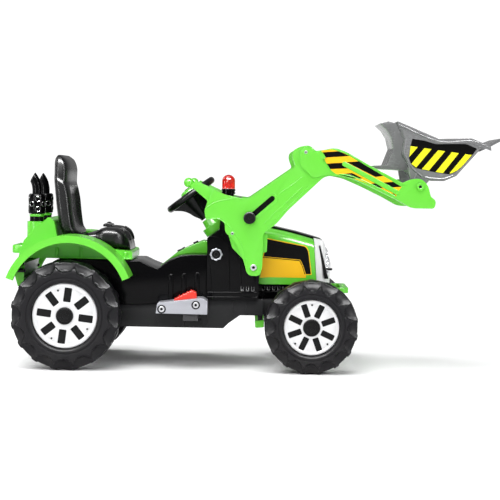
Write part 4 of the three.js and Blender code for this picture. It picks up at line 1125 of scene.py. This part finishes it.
# ------------------------------------------------------------------ loader arms
LEVER = [[-168, 514], [-156, 531, 4], [-100, 506], [-72, 492, 10]]
PLATE_TOP = [[-36, 485, 12], [-7, 482, 8]]
ELBOW = [[122, 574, 6], [112, 601, 10], [114, 618, 10], [132, 629, 10], [160, 634, 12], [177, 618, 4]]
UPPER_TOP = [[200, 621, 12], [229, 628, 16], [262, 617, 12], [329, 580], [420, 534, 4]]
END_EAR = [[444, 545, 14], [472, 547, 16], [491, 528, 12], [499, 497, 6], [514, 486, 9], [510, 464, 9],
           [446, 464, 14]]
UPPER_BOTTOM = [[398, 490], [330, 522], [278, 544, 14], [236, 552, 14], [202, 547, 12]]
BOOM_BOTTOM = [[104, 453, 14], [70, 412, 14], [36, 387, 8]]
FOOT = [[35, 290, 18], [28, 268, 18], [-6, 268, 18], [-16, 305, 12]]
PLATE_LEFT = [[-22, 322, 12], [-46, 368, 14], [-71, 388, 12], [-71, 414, 10], [-86, 428, 10], [-124, 422, 4]]
LEVER_ROOT = [[-129, 446, 8], [-120, 474, 6]]
SLOT = ((-3, 429), (59, 484))


def boom_arm():
    side = [*LEVER, *PLATE_TOP, *ELBOW, *UPPER_TOP, *END_EAR, *UPPER_BOTTOM, *BOOM_BOTTOM, *FOOT,
            *PLATE_LEFT, *LEVER_ROOT]
    arm = plate(side, -ARM_OUTER, -ARM_INNER, steps=8)
    thin = [plate([[-190, 440], [-132, 440], [-96, 530], [-190, 560]], y - 12, y + 12) for y in (-185, -225)]
    lever_way = drawn_out(capsule(*SLOT, 7.4), -230, -180)
    return cut(arm, *thin, lever_way, rod((468.5, -230, 524), (468.5, -214, 524), 8.2))


make(boom_arm(), "boom_arm_moulding", "boom", "green", edge=3, steps=4, angle=40,
     stands_for=("boom_arm_*",), pair=True)
ball = bpy.data.objects.new("ball", bpy.data.meshes.new("ball"))
bpy.context.collection.objects.link(ball)
sphere = bmesh.new()
bmesh.ops.create_uvsphere(sphere, u_segments=40, v_segments=24, radius=13.5,
                          matrix=Matrix.Translation((-174, -205, 524)))
sphere.to_mesh(ball.data)
sphere.free()
make(ball, "lever_ball", "boom", "green", pair=True, smooth=60)
make(drawn_out(capsule(*SLOT, 10.5), -191.8, -190.2), "slot_backing", "boom", "control black", pair=True)
lip = drawn_out(capsule(*SLOT, 15.6), -220.7, -219)
cut(lip, drawn_out(capsule(*SLOT, 13.6), -222, -218))
make(lip, "slot_lip", "boom", "green", edge=0.25, steps=2, pair=True)
ridge("arm_crease_top", [(-126, 452), (-104, 468), (-66, 480), (-37, 483.5), (-24, 480)], ARM_OUTER, "boom",
      "green", 1.2)
ridge("arm_crease_low", [(-118, 424.5), (-87, 424), (-60, 404), (-36, 376), (-20, 345), (-8, 301)],
      ARM_OUTER - 0.2, "boom", "green", 1.3)
ridge("boom_crease_top", [(78, 498), (110, 521), (140, 545)], ARM_OUTER, "boom", "green", 1.0)
ridge("boom_crease_middle", [(37, 414), (86, 463), (140, 515)], ARM_OUTER, "boom", "green", 1.1)
ridge("boom_crease_low", [(41, 395), (88, 445), (138, 496), (160, 520)], ARM_OUTER, "boom", "green", 1.0)
make(plate([[30, 332, 4], [47, 334, 4], [48, 384, 4], [30, 392, 4]], -206, -190.6), "arm_front_tab", "boom",
     "green", edge=2.5, pair=True)
make(plate([[-62, 384, 4], [-30, 384], [-4, 318], [-16, 310, 4], [-50, 344, 6]], -204, -190.6),
     "arm_rear_tab", "boom", "green", edge=2, pair=True)
refined("elbow_cap", "boom", "green", 2.2, 4, pair=True)
refined("cross_tube", "boom", "green", 1.5, 3)
socket_bolt("elbow_screw", 149.6, 614, -226.4, "boom", 4.6, 1.2)
socket_bolt("plate_screw", -50, 385, -220, "boom", 4.2, 1.2)
socket_bolt("foot_bolt", 10.6, 291.4, -222.8, "boom", 9, 3)
collar = turned([(4.4, 0), (4.4, -3.6), (6, -4.4), (9.4, -4.4), (10.6, -3.2), (11, 0), (4.4, 0)],
                (468.5, -223.4, 524), 48)
make(collar, "ear_collar", "boom", "green", pair=True, smooth=30)
make(turned([(0, 0), (4.2, 0), (4.2, -1), (0, -1)], (468.5, -223.4, 524), 32), "ear_shadow", "boom",
     "control black", pair=True)

knob = turned([(0, 0), (16.6, 0), (17, -0.6), (17, -11.4), (16.2, -13.6), (14, -14.8), (12.4, -15),
               (11.6, -14.2), (10.6, -14.2), (10, -15), (4, -15), (3.6, -14.2), (0, -14.2)],
              (-3, -220.4, 429), 56)
stem = rod((-3, -221, 429), (-3, -192, 429), 4.5, 24)
make(join(knob, stem), "slider_knob", "slider_*", "control black", stands_for=("slider_*",), pair=True,
     smooth=34)

# ------------------------------------------------------------------ bucket
refined("bucket", "bucket", "bucket", 1.8, 3)
BUCKET_RIBS = {
    "rear_post": [(433, 656), (429, 636), (428, 616), (440, 594)],
    "corner_post": [(443, 588), (456, 570), (478, 553)],
    "lug_rib": [(463, 566), (456, 540), (452, 528)],
    "lower_bead": [(486, 551), (510, 548), (540, 548), (566, 558)],
}
for label, points in BUCKET_RIBS.items():
    ridge("bucket_" + label, points, BUCKET_SIDE - 0.6, "bucket", "bucket", 3.2)
ridge("bucket_rim_bead", [(410, 697), (522, 652), (614, 655), (664, 636)], 179, "bucket", "bucket", 2.2)
for number, y in enumerate((-70, 0, 70)):
    web = plate([[372, 704], [384, 700], [404, 664], [411, 632], [394, 584], [352, 582], [352, 578],
                 [424, 578], [430, 616], [428, 655], [408, 700]], y - 2, y + 2)
    make(web, f"bucket_web_{number + 1}", "bucket", "bucket", edge=0.8, steps=2)

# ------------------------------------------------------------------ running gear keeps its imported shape
for nodes, finish in ((("rear_axle", "front_axle", "knuckle_right", "knuckle_left", "tie_rod",
                        "steering_shaft", "boom_shaft", "bucket_pin"), "zinc"),
                      (("battery", "gearbox_right", "gearbox_left"), "case")):
    for node in nodes:
        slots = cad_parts[node].material_slots
        slots[0].material = FINISHES[finish][0]

# ------------------------------------------------------------------ floor, light, camera
FLOOR_REACH = 80000
floor = drawn_out([(a * FLOOR_REACH, b * FLOOR_REACH) for a, b in ((-1, -1), (1, -1), (1, 1), (-1, 1))],
                  -20, 0, "XY")
floor.name = "floor"
floor.data.transform(TO_FRAME)
paper = bpy.data.materials.new("Floor, pale paper")
paper.use_nodes = True
paper_skin = paper.node_tree.nodes["Principled BSDF"]
paper_skin.inputs["Base Color"].default_value = (0.97, 0.97, 0.975, 1)
paper_skin.inputs["Roughness"].default_value = 0.75
paper_skin.inputs["Specular IOR Level"].default_value = 0.2
floor.data.materials.append(paper)

STUDIO_GLOW = 0.34
BACKDROP_GLOW = 1.1
world = bpy.data.worlds.new("studio")
bpy.context.scene.world = world
world.use_nodes = True
air = world.node_tree
surround = air.nodes["Background"]
surround.inputs["Color"].default_value = (1, 1, 1, 1)
surround.inputs["Strength"].default_value = STUDIO_GLOW
backdrop = air.nodes.new("ShaderNodeBackground")
backdrop.inputs["Color"].default_value = (1, 1, 1, 1)
backdrop.inputs["Strength"].default_value = BACKDROP_GLOW
ray = air.nodes.new("ShaderNodeLightPath")
choice = air.nodes.new("ShaderNodeMixShader")
air.links.new(ray.outputs["Is Camera Ray"], choice.inputs[0])
air.links.new(surround.outputs[0], choice.inputs[1])
air.links.new(backdrop.outputs[0], choice.inputs[2])
air.links.new(choice.outputs[0], air.nodes["World Output"].inputs["Surface"])


def lamp(name, kind, place, target, power, size, size_y=None, only_shine=False):
    """A studio light. One that only shines puts highlights on glossy skins, and adds no light of its own."""
    light = bpy.data.lights.new(name, kind)
    light.energy = power
    if kind == "SUN":
        light.angle = math.radians(size)
    else:
        light.shape = "RECTANGLE"
        light.size = size
        light.size_y = size_y or size
    fixture = bpy.data.objects.new(name, light)
    bpy.context.collection.objects.link(fixture)
    fixture.location = place
    fixture.rotation_euler = (Vector(target) - Vector(place)).to_track_quat("-Z", "Y").to_euler()
    fixture.visible_diffuse = not only_shine


lamp("overhead", "SUN", (-0.6, -0.8, 4), (0, 0, 0), 2.6, 50)
lamp("front softbox", "AREA", (-1.2, -3.2, 1.9), (0, 0, 0.35), 60, 2.4, 1.4)
lamp("side strip", "AREA", (2.6, -1.8, 1.4), (0.1, 0, 0.35), 26, 0.5, 1.8)
lamp("rear strip", "AREA", (-2.6, 0.8, 1.5), (-0.3, 0, 0.4), 24, 0.5, 1.8)
lamp("top edge strip", "AREA", (0, -1.7, 2.3), (0, 0, 0.3), 620, 3.2, 0.7, True)
lamp("left edge strip", "AREA", (-2.3, -2.4, 1.0), (-0.3, 0, 0.4), 50, 0.14, 1.8, True)
lamp("right edge strip", "AREA", (2.5, -2.2, 1.2), (0.2, 0, 0.4), 50, 0.14, 1.8, True)

CAMERA_PLACE = (-0.015, -4.46, 0.534)
CAMERA_DIP = 2.62
CAMERA_ROLL = 1.07
camera = bpy.data.objects.new("camera", bpy.data.cameras.new("camera"))
bpy.context.collection.objects.link(camera)
camera.data.lens = 110
camera.data.sensor_width = 36
camera.matrix_world = (Matrix.Translation(CAMERA_PLACE)
                       @ Matrix.Rotation(math.radians(90 - CAMERA_DIP), 4, "X")
                       @ Matrix.Rotation(math.radians(CAMERA_ROLL), 4, "Z"))
scene = bpy.context.scene
scene.camera = camera
scene.view_settings.view_transform = "Standard"
